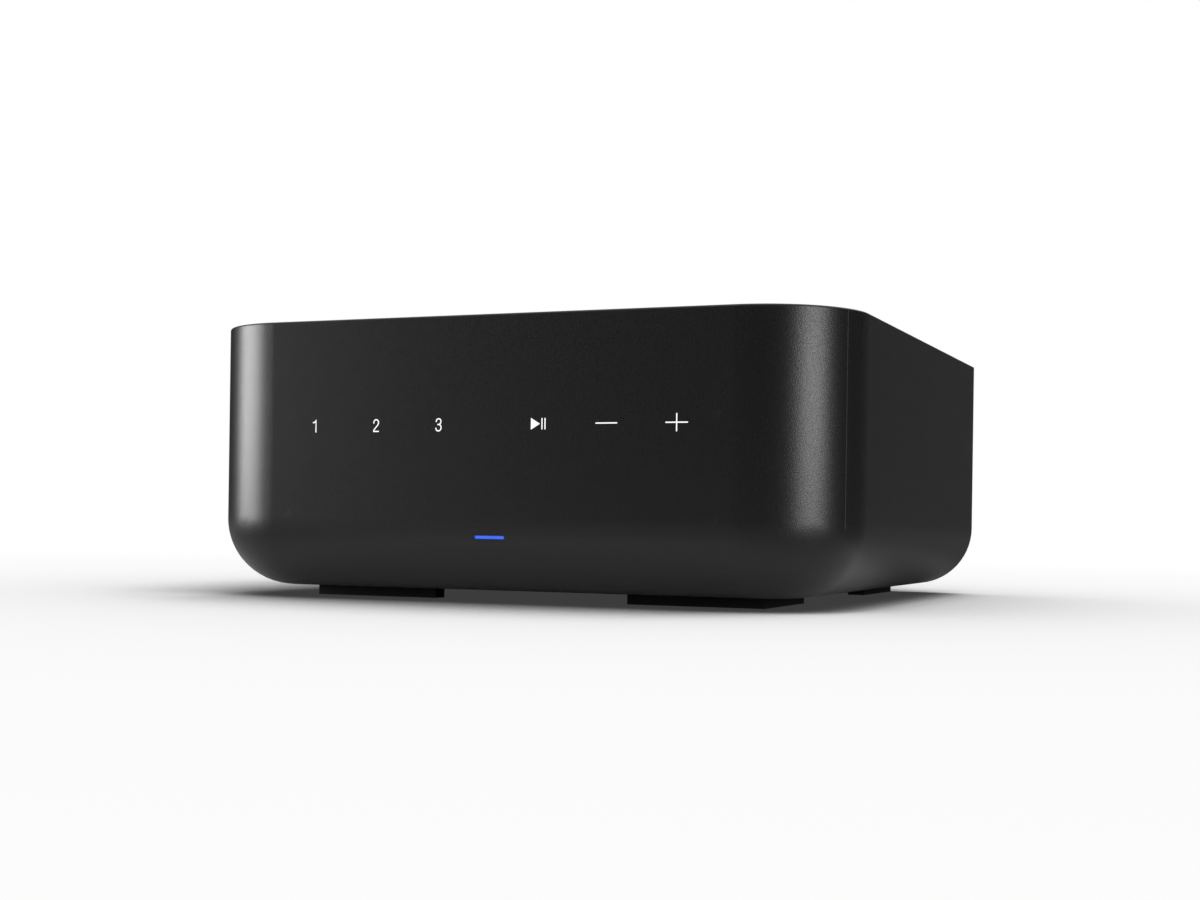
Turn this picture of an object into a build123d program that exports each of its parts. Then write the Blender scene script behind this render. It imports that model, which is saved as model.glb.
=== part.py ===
from build123d import *
import os

# A compact streaming amplifier. Sizes are in millimetres. +Z is up, the front face looks along -Y, and +X
# is to the right as seen from the front. The origin lies on the surface that the amplifier stands on, at
# the centre of the overall box, speaker terminals included.

# Housing
body_width = 212.0
body_depth = 200.0
body_height = 86.0
foot_height = 3.4
corner_radius = 30.5
belly_radius = 21.3
top_edge_radius = 0.6
wall = 2.8
rim = 1.3
fit_gap = 0.2
cover_thickness = 2.2
cover_flange_height = 3.4
cover_flange_wall = 1.4
panel_thickness = 2.5

# Cover fastening: catches at the front, screw lugs at the rear
catch_x = 45.0
catch_width = 14.0
catch_height = 1.2
catch_drop = 1.4
catch_reach = 1.0
lug_inset = 10.0
lug_width = 10.0
lug_depth = 9.0
lug_drop = 6.0

# Housing ribs, floor posts for the rear panel, vents
rib_thickness = 1.6
rib_reach = 2.0
rib_positions = (62.0, 102.0, 142.0)
post_x = 30.0
post_width = 9.0
post_depth = 8.0
post_height = 8.4
vent_count = 12
vent_width = 2.4
vent_length = 26.0
vent_pitch = 6.0
rear_vent_count = 27
rear_vent_width = 2.2
rear_vent_height = 6.0
rear_vent_pitch = 6.2
rear_vent_drop = 4.0

# Feet: four L shapes, open towards the middle
foot_arm = 43.3
foot_width = 5.9
foot_inset = 29.9
rear_foot_inset = 3.6
foot_pocket = 0.6

# Screws. Threads and hidden holes are drawn with six flats, their radius taken across the corners.
screw_radius = 1.45
screw_hole_radius = 1.6
pilot_radius = 1.5
head_radius = 2.7
head_height = 1.7
screw_length = 8.0

# Chassis tray and its bosses
boss_x = 60.0
boss_front_y = 57.0
boss_rear_y = 32.0
boss_radius = 4.5
boss_height = 3.8
tray_thickness = 1.2
tray_margin = 11.0
tray_front_gap = 45.0
tray_rear_gap = 14.0
tray_lip = 4.5
collar_radius = 3.0
collar_height = 3.0

# Boards and the standoffs that carry them
board_thickness = 1.6
standoff_height = 6.0
standoff_radius = 2.75
stack_height = 37.2
board_rear_gap = 8.5
board_length = 141.0
board_margin = 11.0
amplifier_board_right = 12.0
supply_board_left = 18.0
main_board_length = 73.0
main_board_rear_gap = 3.2
main_board_margin = 14.0
hole_margin = 5.0
stack_front_y = 71.0
stack_rear_y = 29.0
stack_left_x = -38.0
stack_right_inset = 18.0
stud_radius = 1.2
stud_hole_radius = 1.25
stud_length = 4.0

# Touch board behind the front wall, and the status light under it
diffuser_gap = 1.0
diffuser_height = 16.0
diffuser_thickness = 2.0
touch_centre_z = 53.2
touch_board_rise = 10.8
touch_boss_x = 70.0
touch_boss_radius = 3.0
touch_boss_spread = 26.0
light_z = 19.9
light_width = 10.0
light_height = 1.4
led_width = 3.2
led_height = 1.4
led_thickness = 0.8
led_margin = 2.6

# Speaker terminals
terminal_inset = 38.0
terminal_rise = 21.2
terminal_pitch = 19.0
flange_size = 43.0
flange_corner = 3.0
flange_thickness = 1.2
terminal_body_size = 30.0
terminal_body_depth = 12.0
terminal_screw_rise = 18.2
stem_radius = 3.0
plug_radius = 2.0
plug_depth = 14.0
stem_recess = 0.5
wire_hole_radius = 1.25
wire_hole_offset = 2.0
tag_width = 3.0
tag_thickness = 0.8
tag_step = 3.0
washer_radius = 5.2
washer_thickness = 1.0
running_gap = 0.06
seat_gap = 0.1
cap_length = 8.6
cap_radius = 5.6
cap_collar = 1.8
flute_count = 14
flute_width = 1.0

# Coaxial jacks
jack_first_x = 38.0
jack_pitch_x = 16.0
jack_rise = 10.2
jack_pitch_z = 14.0
jack_block_width = 12.0
jack_block_depth = 14.0
sleeve_radius = 4.15
sleeve_wall = 0.55
sleeve_reach = 9.0
sleeve_base_radius = 4.7
insert_recess = 0.8
contact_radius = 1.65
contact_depth = 9.0

# Mains inlet with two pins
mains_inset = 32.0
mains_rise = 17.2
mains_flange_width = 29.0
mains_flange_height = 16.0
mains_flange_thickness = 1.5
mains_body_width = 23.0
mains_body_height = 13.0
mains_body_depth = 18.0
mains_lobe_radius = 4.6
mains_waist = 7.6
mains_recess = 11.0
mains_pin_radius = 1.2
mains_pin_pitch = 8.6
mains_pin_reach = 10.0
mains_leg_width = 1.6

# Sockets on the main board
socket_proud = 0.3
network_inset = 56.0
network_width = 16.0
network_height = 13.5
network_depth = 17.0
network_bore_width = 11.9
network_bore_height = 7.0
network_bore_depth = 13.0
network_latch_width = 6.4
network_latch_drop = 2.2
network_sill = 1.8
usb_inset = 78.0
usb_width = 14.5
usb_height = 7.2
usb_depth = 14.0
usb_bore_width = 12.5
usb_bore_height = 5.1
usb_tongue_width = 11.1
usb_tongue_thickness = 1.8
av_inset = 98.0
av_width = 16.0
av_height = 6.8
av_depth = 12.0
av_bore_width = 14.1
av_bore_height = 4.6
av_bore_chamfer = 1.4
av_tongue_width = 11.6
av_tongue_thickness = 1.5
socket_back = 2.0
tongue_recess = 1.2
optical_inset = 119.0
optical_proud = 1.5
optical_width = 10.6
optical_height = 10.6
optical_depth = 14.0
optical_bore_width = 6.8
optical_bore_height = 7.4
optical_bore_depth = 9.0
optical_sill = 1.5
lens_radius = 1.2
lens_length = 1.0
shutter_thickness = 0.8
shutter_recess = 0.4
shutter_gap = 0.15
shutter_pin_radius = 0.5
shutter_pin_reach = 0.9
sensor_inset = 138.0
sensor_width = 7.4
sensor_height = 7.0
sensor_depth = 14.0
sensor_barrel_radius = 3.0
sensor_bore_radius = 1.8
sensor_bore_depth = 14.0

# Two small push buttons beside the sockets
button_inset = 38.0
button_pitch = 14.0
button_rise = 3.6
button_radius = 2.6
button_gap = 0.25
button_proud = 0.9
button_flange_radius = 3.3
button_flange_thickness = 0.8
button_travel = 0.8
plunger_width = 2.0
plunger_gap = 0.06
plunger_engagement = 1.6
switch_width = 6.2
switch_height = 6.4
switch_depth = 5.0

# Heatsink over the two output chips
chip_width = 16.0
chip_length = 11.0
chip_height = 3.3
chip_spread = 26.0
heatsink_inset = 56.0
heatsink_y = 112.0
heatsink_width = 60.0
heatsink_length = 54.0
heatsink_height = 30.0
heatsink_base = 4.0
heatsink_leg = 5.0
fin_count = 13
fin_thickness = 1.4

# Other parts on the boards
inductor_size = 13.0
inductor_height = 10.0
inductor_inset = 22.0
inductor_pitch = 17.0
inductor_y = 66.0
can_radius = 9.0
can_height = 35.0
can_bevel = 1.0
can_inset = 22.0
can_pitch = 21.0
can_y = 32.5
core_width = 35.0
core_length = 32.0
core_height = 28.0
core_leg = 7.0
core_x = 56.0
core_y = 96.0
winding_gap = 0.4
supply_can_x = 28.5
supply_can_y = 118.0
supply_can_pitch = 22.0
supply_can_height = 31.0
choke_x = 66.0
choke_y = 52.0
choke_width = 18.0
choke_length = 22.0
choke_height = 19.0
filter_x = 40.0
filter_y = 44.0
filter_width = 10.0
filter_length = 26.0
filter_height = 18.0
shield_x = 22.0
shield_y = 52.0
shield_width = 46.0
shield_length = 34.0
shield_height = 6.0

# Antennas, leads and flat links
antenna_length = 32.0
antenna_height = 9.0
antenna_thickness = 0.8
antenna_y = 80.0
antenna_z = 60.0
lead_radius = 0.6
lead_bend = 9.0
lead_spread = 8.0
lead_rise = 3.0
link_width = 12.0
link_thickness = 0.4
link_connector_depth = 4.0
link_connector_height = 3.0
link_x = -16.0
link_y = 66.0
ribbon_x = 62.0
ribbon_drop = 4.0
ribbon_bend = 3.0
jumper_y = 56.0

# Levels and faces that the pieces share
overall_depth = body_depth + flange_thickness + seat_gap + washer_thickness + seat_gap + cap_length
half_width = body_width / 2
front = -overall_depth / 2
rear = front + body_depth
panel_front = rear - panel_thickness
floor_z = foot_height + wall
cover_low = body_height - cover_thickness
tray_low = floor_z + boss_height
tray_top = tray_low + tray_thickness
board_low = tray_top + standoff_height
board_top = board_low + board_thickness
main_low = board_top + stack_height
main_top = main_low + board_thickness
board_rear = rear - board_rear_gap
board_front = board_rear - board_length
main_rear = rear - main_board_rear_gap
main_front = main_rear - main_board_length
touch_face = front + wall + diffuser_thickness
touch_back = touch_face + board_thickness
touch_board_half = touch_boss_x + touch_boss_radius
diffuser_half = touch_boss_x - touch_boss_radius - diffuser_gap
touch_low = light_z - led_margin
touch_high = touch_centre_z + touch_board_rise
socket_face = rear + socket_proud
optical_face = rear + optical_proud

terminal_x = terminal_inset - half_width
terminal_z = board_top + terminal_rise
washer_face = rear + flange_thickness + seat_gap
cap_face = washer_face + washer_thickness + seat_gap
stem_end = cap_face + cap_length - stem_recess
terminals = {
    "a_plus": (terminal_x + terminal_pitch / 2, terminal_z + terminal_pitch / 2),
    "a_minus": (terminal_x + terminal_pitch / 2, terminal_z - terminal_pitch / 2),
    "b_plus": (terminal_x - terminal_pitch / 2, terminal_z + terminal_pitch / 2),
    "b_minus": (terminal_x - terminal_pitch / 2, terminal_z - terminal_pitch / 2),
}

jack_low_z = board_top + jack_rise
jack_high_z = jack_low_z + jack_pitch_z
line_in_x = terminal_x + jack_first_x
line_out_x = line_in_x + jack_pitch_x
sub_x = line_out_x + jack_pitch_x
jacks_left = [(line_in_x, jack_high_z), (line_out_x, jack_high_z)]
jacks_right = [(line_in_x, jack_low_z), (line_out_x, jack_low_z)]
jacks_sub = [(sub_x, jack_low_z)]

mains_x = half_width - mains_inset
mains_z = board_top + mains_rise
network_x = half_width - network_inset
usb_x = half_width - usb_inset
av_x = half_width - av_inset
optical_x = half_width - optical_inset
sensor_x = half_width - sensor_inset
shutter_y = optical_face - shutter_recess - shutter_thickness / 2 - shutter_pin_radius
shutter_z = main_top + optical_sill + optical_bore_height - shutter_pin_radius - shutter_gap
button_z = main_top + button_rise
connect_x = half_width - button_inset
pair_x = connect_x + button_pitch

main_left = sensor_x - main_board_margin
main_right = half_width - main_board_margin
stack_right_x = half_width - stack_right_inset
stack_points = [
    (x, rear - y) for x in (stack_left_x, stack_right_x) for y in (stack_front_y, stack_rear_y)
]
board_left = board_margin - half_width
board_right = half_width - board_margin
board_corner_y = board_front + hole_margin
corner_points = [
    (board_left + hole_margin, board_corner_y),
    (amplifier_board_right - hole_margin, board_corner_y),
    (supply_board_left + hole_margin, board_corner_y),
    (board_right - hole_margin, board_corner_y),
]
boss_points = [(x, y) for x in (-boss_x, boss_x) for y in (front + boss_front_y, rear - boss_rear_y)]
post_points = [(x, floor_z + post_height - post_width / 2) for x in (-post_x, post_x)]
lug_points = [(x, cover_low - lug_drop) for x in (lug_inset - half_width, half_width - lug_inset)]
terminal_screws = [(terminal_x, terminal_z + rise) for rise in (-terminal_screw_rise, terminal_screw_rise)]
touch_bosses = [
    (x, touch_centre_z + z)
    for x in (-touch_boss_x, touch_boss_x)
    for z in (touch_boss_radius, -touch_boss_spread)
]


def block(x, y, z):
    """A block between a pair of limits on each axis."""
    size = [high - low for low, high in (x, y, z)]
    centre = [(high + low) / 2 for low, high in (x, y, z)]
    return Pos(*centre) * Box(*size)


def around(centre, width):
    """The pair of limits of a width about a centre."""
    return centre - width / 2, centre + width / 2


def between(a, b):
    """Two limits in rising order."""
    return min(a, b), max(a, b)


def rod_z(x, y, low, high, radius):
    """An upright cylinder."""
    return Pos(x, y, (low + high) / 2) * Cylinder(radius, high - low)


def hexagon_z(x, y, low, high, radius):
    """An upright rod with six flats, radius across its corners."""
    return Pos(x, y, low) * extrude(RegularPolygon(radius, 6), high - low)


def along_y(profile, near, far):
    """A profile drawn in X and Z, made solid from y = near to y = far."""
    plane = Plane(origin=(0, far, 0), x_dir=(1, 0, 0), z_dir=(0, -1, 0))
    return extrude(plane * profile, far - near)


def rod_y(x, z, near, far, radius):
    """A cylinder that runs from front to rear."""
    return along_y(Pos(x, z) * Circle(radius), near, far)


def hexagon_y(x, z, near, far, radius):
    """A rod with six flats that runs from front to rear."""
    return along_y(Pos(x, z) * RegularPolygon(radius, 6), near, far)


def rod_x(y, z, left, right, radius):
    """A cylinder that runs from left to right."""
    return Pos((left + right) / 2, y, z) * Rot(0, 90, 0) * Cylinder(radius, right - left)


def plan_form(inset, low, high, back):
    """The housing's plan with its two front corners, drawn in by inset, as an upright prism."""
    plan = Rectangle(body_width - 2 * inset, back - front - inset, align=(Align.CENTER, Align.MIN))
    plan = Pos(0, front + inset) * plan
    plan = fillet(plan.vertices().group_by(Axis.Y)[0], corner_radius - inset)
    return Pos(0, 0, low) * extrude(plan, high - low)


def housing_form(inset, low, high, back):
    """The plan form with the belly rounding along its front and sides."""
    form = plan_form(inset, low, high, back)
    belly = form.edges().group_by(Axis.Z)[0].sort_by(Axis.Y)[:-1]
    return fillet(belly, belly_radius - inset)


def rear_profile(inset, top):
    """The housing seen from behind, drawn in by inset, up to a given height."""
    low = foot_height + inset
    outline = Pos(0, (low + top) / 2) * Rectangle(body_width - 2 * inset, top - low)
    return fillet(outline.vertices().group_by(Axis.Y)[0], belly_radius - inset)


def screw_y(x, z, face, length=screw_length):
    """A pan-head screw driven forwards into the rear of a piece, its thread drawn as six flats."""
    head = rod_y(x, z, face, face + head_height, head_radius)
    return head + hexagon_y(x, z, face - length, face, screw_radius)


def foot_form(side, end, grow, low, high):
    """One L foot. side is -1 or 1 for left or right, end is -1 or 1 for front or rear."""
    x = side * (half_width - foot_inset + grow)
    y = front + foot_inset - grow if end < 0 else rear - rear_foot_inset + grow
    arm, width = foot_arm + 2 * grow, foot_width + 2 * grow
    across = block(between(x, x - side * arm), between(y, y - end * width), (low, high))
    back = block(between(x, x - side * width), between(y, y - end * arm), (low, high))
    return across + back


def light_form(grow):
    """The status light's window, as a slot through the lower front."""
    slot = Pos(0, light_z) * SlotOverall(light_width + 2 * grow, light_height + 2 * grow)
    return along_y(slot, front - wall, touch_face - led_thickness - fit_gap)


def floor_vents():
    middle = (front + rear) / 2
    first = -(vent_count - 1) / 2 * vent_pitch
    for n in range(vent_count):
        x = around(first + n * vent_pitch, vent_width)
        yield block(x, around(middle, vent_length), (foot_height - wall, floor_z + wall))


def catch(x, grow):
    """A nib at the front of the cover, or with grow, the pocket that it snaps into."""
    low = cover_low - catch_drop - catch_height
    y = (front + wall - catch_reach - grow, front + wall + fit_gap + grow)
    return block(around(x, catch_width + 2 * grow), y, (low - grow, low + catch_height + grow))


def outer_shell():
    """The moulded tub: front, sides and rounded belly in one piece, open at the top and the rear."""
    shell = housing_form(0, foot_height, body_height, rear)
    shell = fillet(shell.edges().group_by(Axis.Z)[-1].sort_by(Axis.Y)[:-1], top_edge_radius)
    above, behind = body_height + wall, rear + wall
    shell -= housing_form(wall, floor_z, above, behind)
    shell -= plan_form(rim, cover_low, above, behind)
    shell -= along_y(rear_profile(rim, above), panel_front, behind)
    inside = half_width - wall
    for side in (-1, 1):
        for y in rib_positions:
            x = between(side * (inside - rib_reach), side * (inside + wall / 2))
            z = (foot_height + belly_radius, cover_low - cover_flange_height - fit_gap)
            shell += block(x, around(front + y, rib_thickness), z)
    for x, y in boss_points:
        shell += hexagon_z(x, y, floor_z - wall / 2, tray_low, boss_radius)
        shell -= hexagon_z(x, y, foot_height - wall, tray_low + wall, screw_hole_radius)
        shell -= rod_z(x, y, foot_height - wall, floor_z - wall / 3, head_radius + fit_gap)
    for x, z in post_points:
        y = (panel_front - post_depth, panel_front)
        shell += block(around(x, post_width), y, (floor_z - wall / 2, floor_z + post_height))
        shell -= hexagon_y(x, z, panel_front - post_depth + wall / 2, panel_front + wall, pilot_radius)
    for x, z in touch_bosses:
        shell += hexagon_y(x, z, front + wall / 2, touch_face, touch_boss_radius)
        shell -= hexagon_y(x, z, front + wall / 2, touch_face + wall, pilot_radius)
    for x in (-catch_x, catch_x):
        shell -= catch(x, fit_gap)
    for side in (-1, 1):
        for end in (-1, 1):
            shell -= foot_form(side, end, fit_gap, foot_height - wall, foot_height + foot_pocket)
    for vent in floor_vents():
        shell -= vent
    shell -= light_form(seat_gap)
    return shell


def top_cover():
    """The cover plate, let into the rim, with a locating flange, front catches and rear screw lugs."""
    cover = plan_form(rim + fit_gap, cover_low, body_height, rear)
    low = cover_low - cover_flange_height
    back = panel_front - fit_gap
    flange = plan_form(wall + fit_gap, low, cover_low, back)
    flange -= plan_form(wall + fit_gap + cover_flange_wall, low, cover_low, back - cover_flange_wall)
    cover += flange
    for x in (-catch_x, catch_x):
        cover += catch(x, 0)
    for x, z in lug_points:
        y = (panel_front - lug_depth, panel_front)
        cover += block(around(x, lug_width), y, (z - lug_width / 2, cover_low))
        cover -= hexagon_y(x, z, panel_front - lug_depth + wall / 2, panel_front + wall, pilot_radius)
    return cover


def panel_openings():
    """Everything that the rear panel lets through, each with the fit gap round it."""
    y = (panel_front - wall, rear + wall)
    size = terminal_body_size + 2 * fit_gap
    yield block(around(terminal_x, size), y, around(terminal_z, size))
    for x, z in jacks_left + jacks_right + jacks_sub:
        yield rod_y(x, z, *y, sleeve_base_radius + fit_gap)
    width, height = mains_body_width + 2 * fit_gap, mains_body_height + 2 * fit_gap
    yield block(around(mains_x, width), y, around(mains_z, height))
    for x, width, height in (
        (network_x, network_width, network_height),
        (usb_x, usb_width, usb_height),
        (av_x, av_width, av_height),
        (optical_x, optical_width, optical_height),
    ):
        yield block(around(x, width + 2 * fit_gap), y, (main_top - fit_gap, main_top + height + fit_gap))
    yield rod_y(sensor_x, main_top + sensor_height / 2, *y, sensor_barrel_radius + fit_gap)
    for x in (connect_x, pair_x):
        yield rod_y(x, button_z, *y, button_radius + button_gap)
    for x, z in post_points + lug_points:
        yield hexagon_y(x, z, *y, screw_hole_radius)
    for x, z in terminal_screws:
        yield hexagon_y(x, z, *y, pilot_radius)
    first = -(rear_vent_count - 1) / 2 * rear_vent_pitch
    top = cover_low - rear_vent_drop
    for n in range(rear_vent_count):
        x = around(first + n * rear_vent_pitch, rear_vent_width)
        yield block(x, y, (top - rear_vent_height, top))


def rear_panel():
    """The flat plate let into the rear of the shell, under the cover."""
    panel = along_y(rear_profile(rim + fit_gap, cover_low - fit_gap), panel_front, rear)
    return panel - list(panel_openings())


def foot(side, end):
    return foot_form(side, end, 0, 0, foot_height + foot_pocket)


def light_guide():
    """The clear window of the status light, flush with the rounded front."""
    return light_form(0) & housing_form(0, foot_height, body_height, rear)


def rear_panel_screws():
    screws = [screw_y(x, z, rear) for x, z in post_points + lug_points]
    face = rear + flange_thickness
    length = flange_thickness + panel_thickness
    return screws + [screw_y(x, z, face, length) for x, z in terminal_screws]


def base_screws():
    """Screws that hold the tray down, driven up through the floor bosses."""
    seat = floor_z - wall / 3
    for x, y in boss_points:
        shank = hexagon_z(x, y, seat, tray_top + collar_height, screw_radius)
        yield shank + rod_z(x, y, seat - head_height, seat, head_radius)


def chassis_tray():
    """Folded steel tray with upturned sides and four pressed-in hexagon nuts."""
    x_out = half_width - tray_margin
    y = (front + tray_front_gap, rear - tray_rear_gap)
    tray = block((-x_out, x_out), y, (tray_low, tray_top))
    for side in (-1, 1):
        x = between(side * (x_out - tray_thickness), side * x_out)
        tray += block(x, y, (tray_low, tray_top + tray_lip))
    for x, y in boss_points:
        tray += hexagon_z(x, y, tray_low, tray_top + collar_height, collar_radius)
        tray -= hexagon_z(x, y, tray_low - wall, tray_top + collar_height + wall, pilot_radius)
    return tray


def lower_board(left, right):
    """A board on the short standoffs, with a hole at each one that lies under it."""
    board = block((left, right), (board_front, board_rear), (board_low, board_top))
    for x, y in corner_points + stack_points:
        if left < x < right:
            board -= hexagon_z(x, y, board_low - wall, board_top + wall, screw_hole_radius)
    return board


def main_board():
    board = block((main_left, main_right), (main_front, main_rear), (main_low, main_top))
    z = (main_low - wall, main_top + wall)
    return board - [hexagon_z(x, y, *z, screw_hole_radius) for x, y in stack_points]


def standoff(x, y, low, high, stud):
    """A hexagonal spacer with a bore at its top, and below either a stud or a plain foot."""
    spacer = hexagon_z(x, y, low, high, standoff_radius)
    spacer -= hexagon_z(x, y, high - stud_length - stud_radius, high + wall, stud_hole_radius)
    if stud:
        spacer += hexagon_z(x, y, low - stud_length, low, stud_radius)
    return spacer


def board_standoffs():
    short = [standoff(x, y, tray_top, board_low, False) for x, y in corner_points + stack_points]
    return short + [standoff(x, y, board_top, main_low, True) for x, y in stack_points]


def board_screws():
    """Hexagon-head screws in the board corners, on the main board and through the touch board."""
    for points, seat in ((corner_points, board_top), (stack_points, main_top)):
        for x, y in points:
            shank = hexagon_z(x, y, seat - board_thickness - stud_length / 2, seat, stud_radius)
            yield shank + hexagon_z(x, y, seat, seat + head_height, head_radius)
    for x, z in touch_bosses:
        shank = hexagon_y(x, z, touch_face - diffuser_thickness, touch_back, screw_radius)
        yield shank + hexagon_y(x, z, touch_back, touch_back + head_height, head_radius)


def symbol_diffuser():
    """Spreads the light behind the touch symbols and holds the electrodes against the front wall."""
    y = (front + wall, touch_face)
    return block((-diffuser_half, diffuser_half), y, around(touch_centre_z, diffuser_height))


def touch_board():
    x = (-touch_board_half, touch_board_half)
    board = block(x, (touch_face, touch_back), (touch_low, touch_high))
    y = (touch_face - wall, touch_back + wall)
    return board - [hexagon_y(x, z, *y, screw_hole_radius) for x, z in touch_bosses]


def status_led():
    y = (touch_face - led_thickness, touch_face)
    return block(around(0, led_width), y, around(light_z, led_height))


def terminal_block():
    """Moulded carrier of the four speaker terminals: a flange outside the panel and a body behind it."""
    flange = Pos(terminal_x, terminal_z) * RectangleRounded(flange_size, flange_size, flange_corner)
    carrier = along_y(flange, rear, rear + flange_thickness)
    size = terminal_body_size
    y = (rear - terminal_body_depth, rear)
    carrier += block(around(terminal_x, size), y, around(terminal_z, size))
    y = (rear - terminal_body_depth - wall, rear + wall)
    carrier -= [rod_y(x, z, *y, stem_radius + running_gap) for x, z in terminals.values()]
    carrier -= [hexagon_y(x, z, *y, screw_hole_radius) for x, z in terminal_screws]
    return carrier


def terminal_stem(x, z):
    """Plated stem with a plug bore, a cross hole for bare wire, and a tag down to the board."""
    reach = tag_step * (2 if z > terminal_z else 1)
    back = rear - terminal_body_depth - reach
    stem = rod_y(x, z, back, stem_end, stem_radius)
    stem -= rod_y(x, z, stem_end - plug_depth, stem_end + wall, plug_radius)
    hole_y = rear + flange_thickness + wire_hole_offset
    stem -= hexagon_z(x, hole_y, z - 2 * stem_radius, z + 2 * stem_radius, wire_hole_radius)
    tag = block(around(x, tag_width), (back - tag_thickness, back), (board_top, z + tag_width / 2))
    return stem + tag


def terminal_washer(x, z):
    """Ring under the cap that clamps the wire without turning."""
    ring = Pos(x, z) * (Circle(washer_radius) - Circle(stem_radius + running_gap))
    return along_y(ring, washer_face, washer_face + washer_thickness)


def terminal_cap(x, z):
    """Fluted screw cap with a plain collar."""
    bore = Circle(stem_radius + running_gap)
    notch = Rot(0, 0, 45) * Rectangle(flute_width, flute_width)
    flutes = [place * notch for place in PolarLocations(cap_radius, flute_count)]
    grip = Circle(cap_radius) - flutes - bore
    cap = along_y(Pos(x, z) * (Circle(cap_radius) - bore), cap_face, cap_face + cap_collar)
    return cap + along_y(Pos(x, z) * grip, cap_face + cap_collar, cap_face + cap_length)


def jack_blocks():
    """Board-mounted housings behind the coaxial jacks: two double ones and a single."""
    y = (panel_front - jack_block_depth, panel_front)
    margin = jack_block_width / 2
    for x, top in ((line_in_x, jack_high_z), (line_out_x, jack_high_z), (sub_x, jack_low_z)):
        yield block(around(x, jack_block_width), y, (board_top, top + margin))


def jack_sleeves():
    """Plated sleeves that a coaxial plug slides over, each on a wider base in the panel."""
    for x, z in jacks_left + jacks_right + jacks_sub:
        bore = Circle(sleeve_radius - sleeve_wall)
        base = along_y(Pos(x, z) * (Circle(sleeve_base_radius) - bore), panel_front, rear)
        yield base + along_y(Pos(x, z) * (Circle(sleeve_radius) - bore), rear, rear + sleeve_reach)


def jack_inserts(places):
    """Coloured insulators inside the sleeves, each with the centre contact's hole."""
    end = rear + sleeve_reach - insert_recess
    for x, z in places:
        insert = rod_y(x, z, panel_front, end, sleeve_radius - sleeve_wall - running_gap)
        yield insert - rod_y(x, z, end - contact_depth, end + wall, contact_radius)


def mains_inlet():
    """Two-pin inlet: a figure-eight recess in a body behind a rounded flange."""
    flange = RectangleRounded(mains_flange_width, mains_flange_height, flange_corner)
    face = rear + mains_flange_thickness
    inlet = along_y(Pos(mains_x, mains_z) * flange, rear, face)
    y = (rear - mains_body_depth, rear)
    inlet += block(around(mains_x, mains_body_width), y, around(mains_z, mains_body_height))
    lobes = [Pos(x, 0) * Circle(mains_lobe_radius) for x in around(0, mains_pin_pitch)]
    recess = Rectangle(mains_pin_pitch, mains_waist) + lobes
    inlet -= along_y(Pos(mains_x, mains_z) * recess, rear - mains_recess, face + wall)
    for x in around(mains_x, mains_pin_pitch):
        inlet -= rod_y(x, mains_z, rear - mains_body_depth - wall, rear, mains_pin_radius + running_gap)
    return inlet


def mains_pins():
    """Round contact pins with flat legs down to the power supply board."""
    back = rear - mains_body_depth - mains_leg_width
    for x in around(mains_x, mains_pin_pitch):
        pin = rod_y(x, mains_z, back, rear - mains_recess + mains_pin_reach, mains_pin_radius)
        leg = block(around(x, mains_leg_width), around(back, mains_leg_width), (board_top, mains_z))
        yield pin + leg


def network_socket():
    z = (main_top, main_top + network_height)
    y = (socket_face - network_depth, socket_face)
    socket = block(around(network_x, network_width), y, z)
    y = (socket_face - network_bore_depth, socket_face + wall)
    low = main_top + network_sill + network_latch_drop
    socket -= block(around(network_x, network_bore_width), y, (low, low + network_bore_height))
    return socket - block(around(network_x, network_latch_width), y, (low - network_latch_drop, low))


def socket_shell(x, width, height, depth, bore):
    """A plated socket shell on the main board, closed behind its bore."""
    shell = block(around(x, width), (socket_face - depth, socket_face), (main_top, main_top + height))
    bore = Pos(x, main_top + height / 2) * bore
    return shell - along_y(bore, socket_face - depth + socket_back, socket_face + wall)


def usb_socket():
    bore = Rectangle(usb_bore_width, usb_bore_height)
    return socket_shell(usb_x, usb_width, usb_height, usb_depth, bore)


def av_socket():
    bore = Rectangle(av_bore_width, av_bore_height)
    bore = chamfer(bore.vertices().group_by(Axis.Y)[0], av_bore_chamfer)
    return socket_shell(av_x, av_width, av_height, av_depth, bore)


def tongue(x, height, depth, size, rise):
    """The contact tongue inside a socket shell."""
    width, thickness = size
    y = (socket_face - depth + socket_back, socket_face - tongue_recess)
    return block(around(x, width), y, around(main_top + height / 2 + rise, thickness))


def socket_tongues():
    usb_size = (usb_tongue_width, usb_tongue_thickness)
    av_size = (av_tongue_width, av_tongue_thickness)
    usb_rise = usb_bore_height / 4
    return [
        tongue(usb_x, usb_height, usb_depth, usb_size, usb_rise),
        tongue(av_x, av_height, av_depth, av_size, 0),
    ]


def optical_socket():
    """Optical input: a square bore with a lens at its end and two small bearings for the shutter."""
    z = (main_top, main_top + optical_height)
    socket = block(around(optical_x, optical_width), (optical_face - optical_depth, optical_face), z)
    low = main_top + optical_sill
    bore = (low, low + optical_bore_height)
    y = (optical_face - optical_bore_depth, optical_face + wall)
    socket -= block(around(optical_x, optical_bore_width), y, bore)
    reach = optical_bore_width / 2 + shutter_pin_reach + running_gap
    pin_bore = shutter_pin_radius + running_gap
    socket -= rod_x(shutter_y, shutter_z, optical_x - reach, optical_x + reach, pin_bore)
    lens_back = optical_face - optical_bore_depth
    y = (lens_back - wall / 2, lens_back + lens_length)
    return socket + rod_y(optical_x, low + optical_bore_height / 2, *y, lens_radius)


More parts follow.
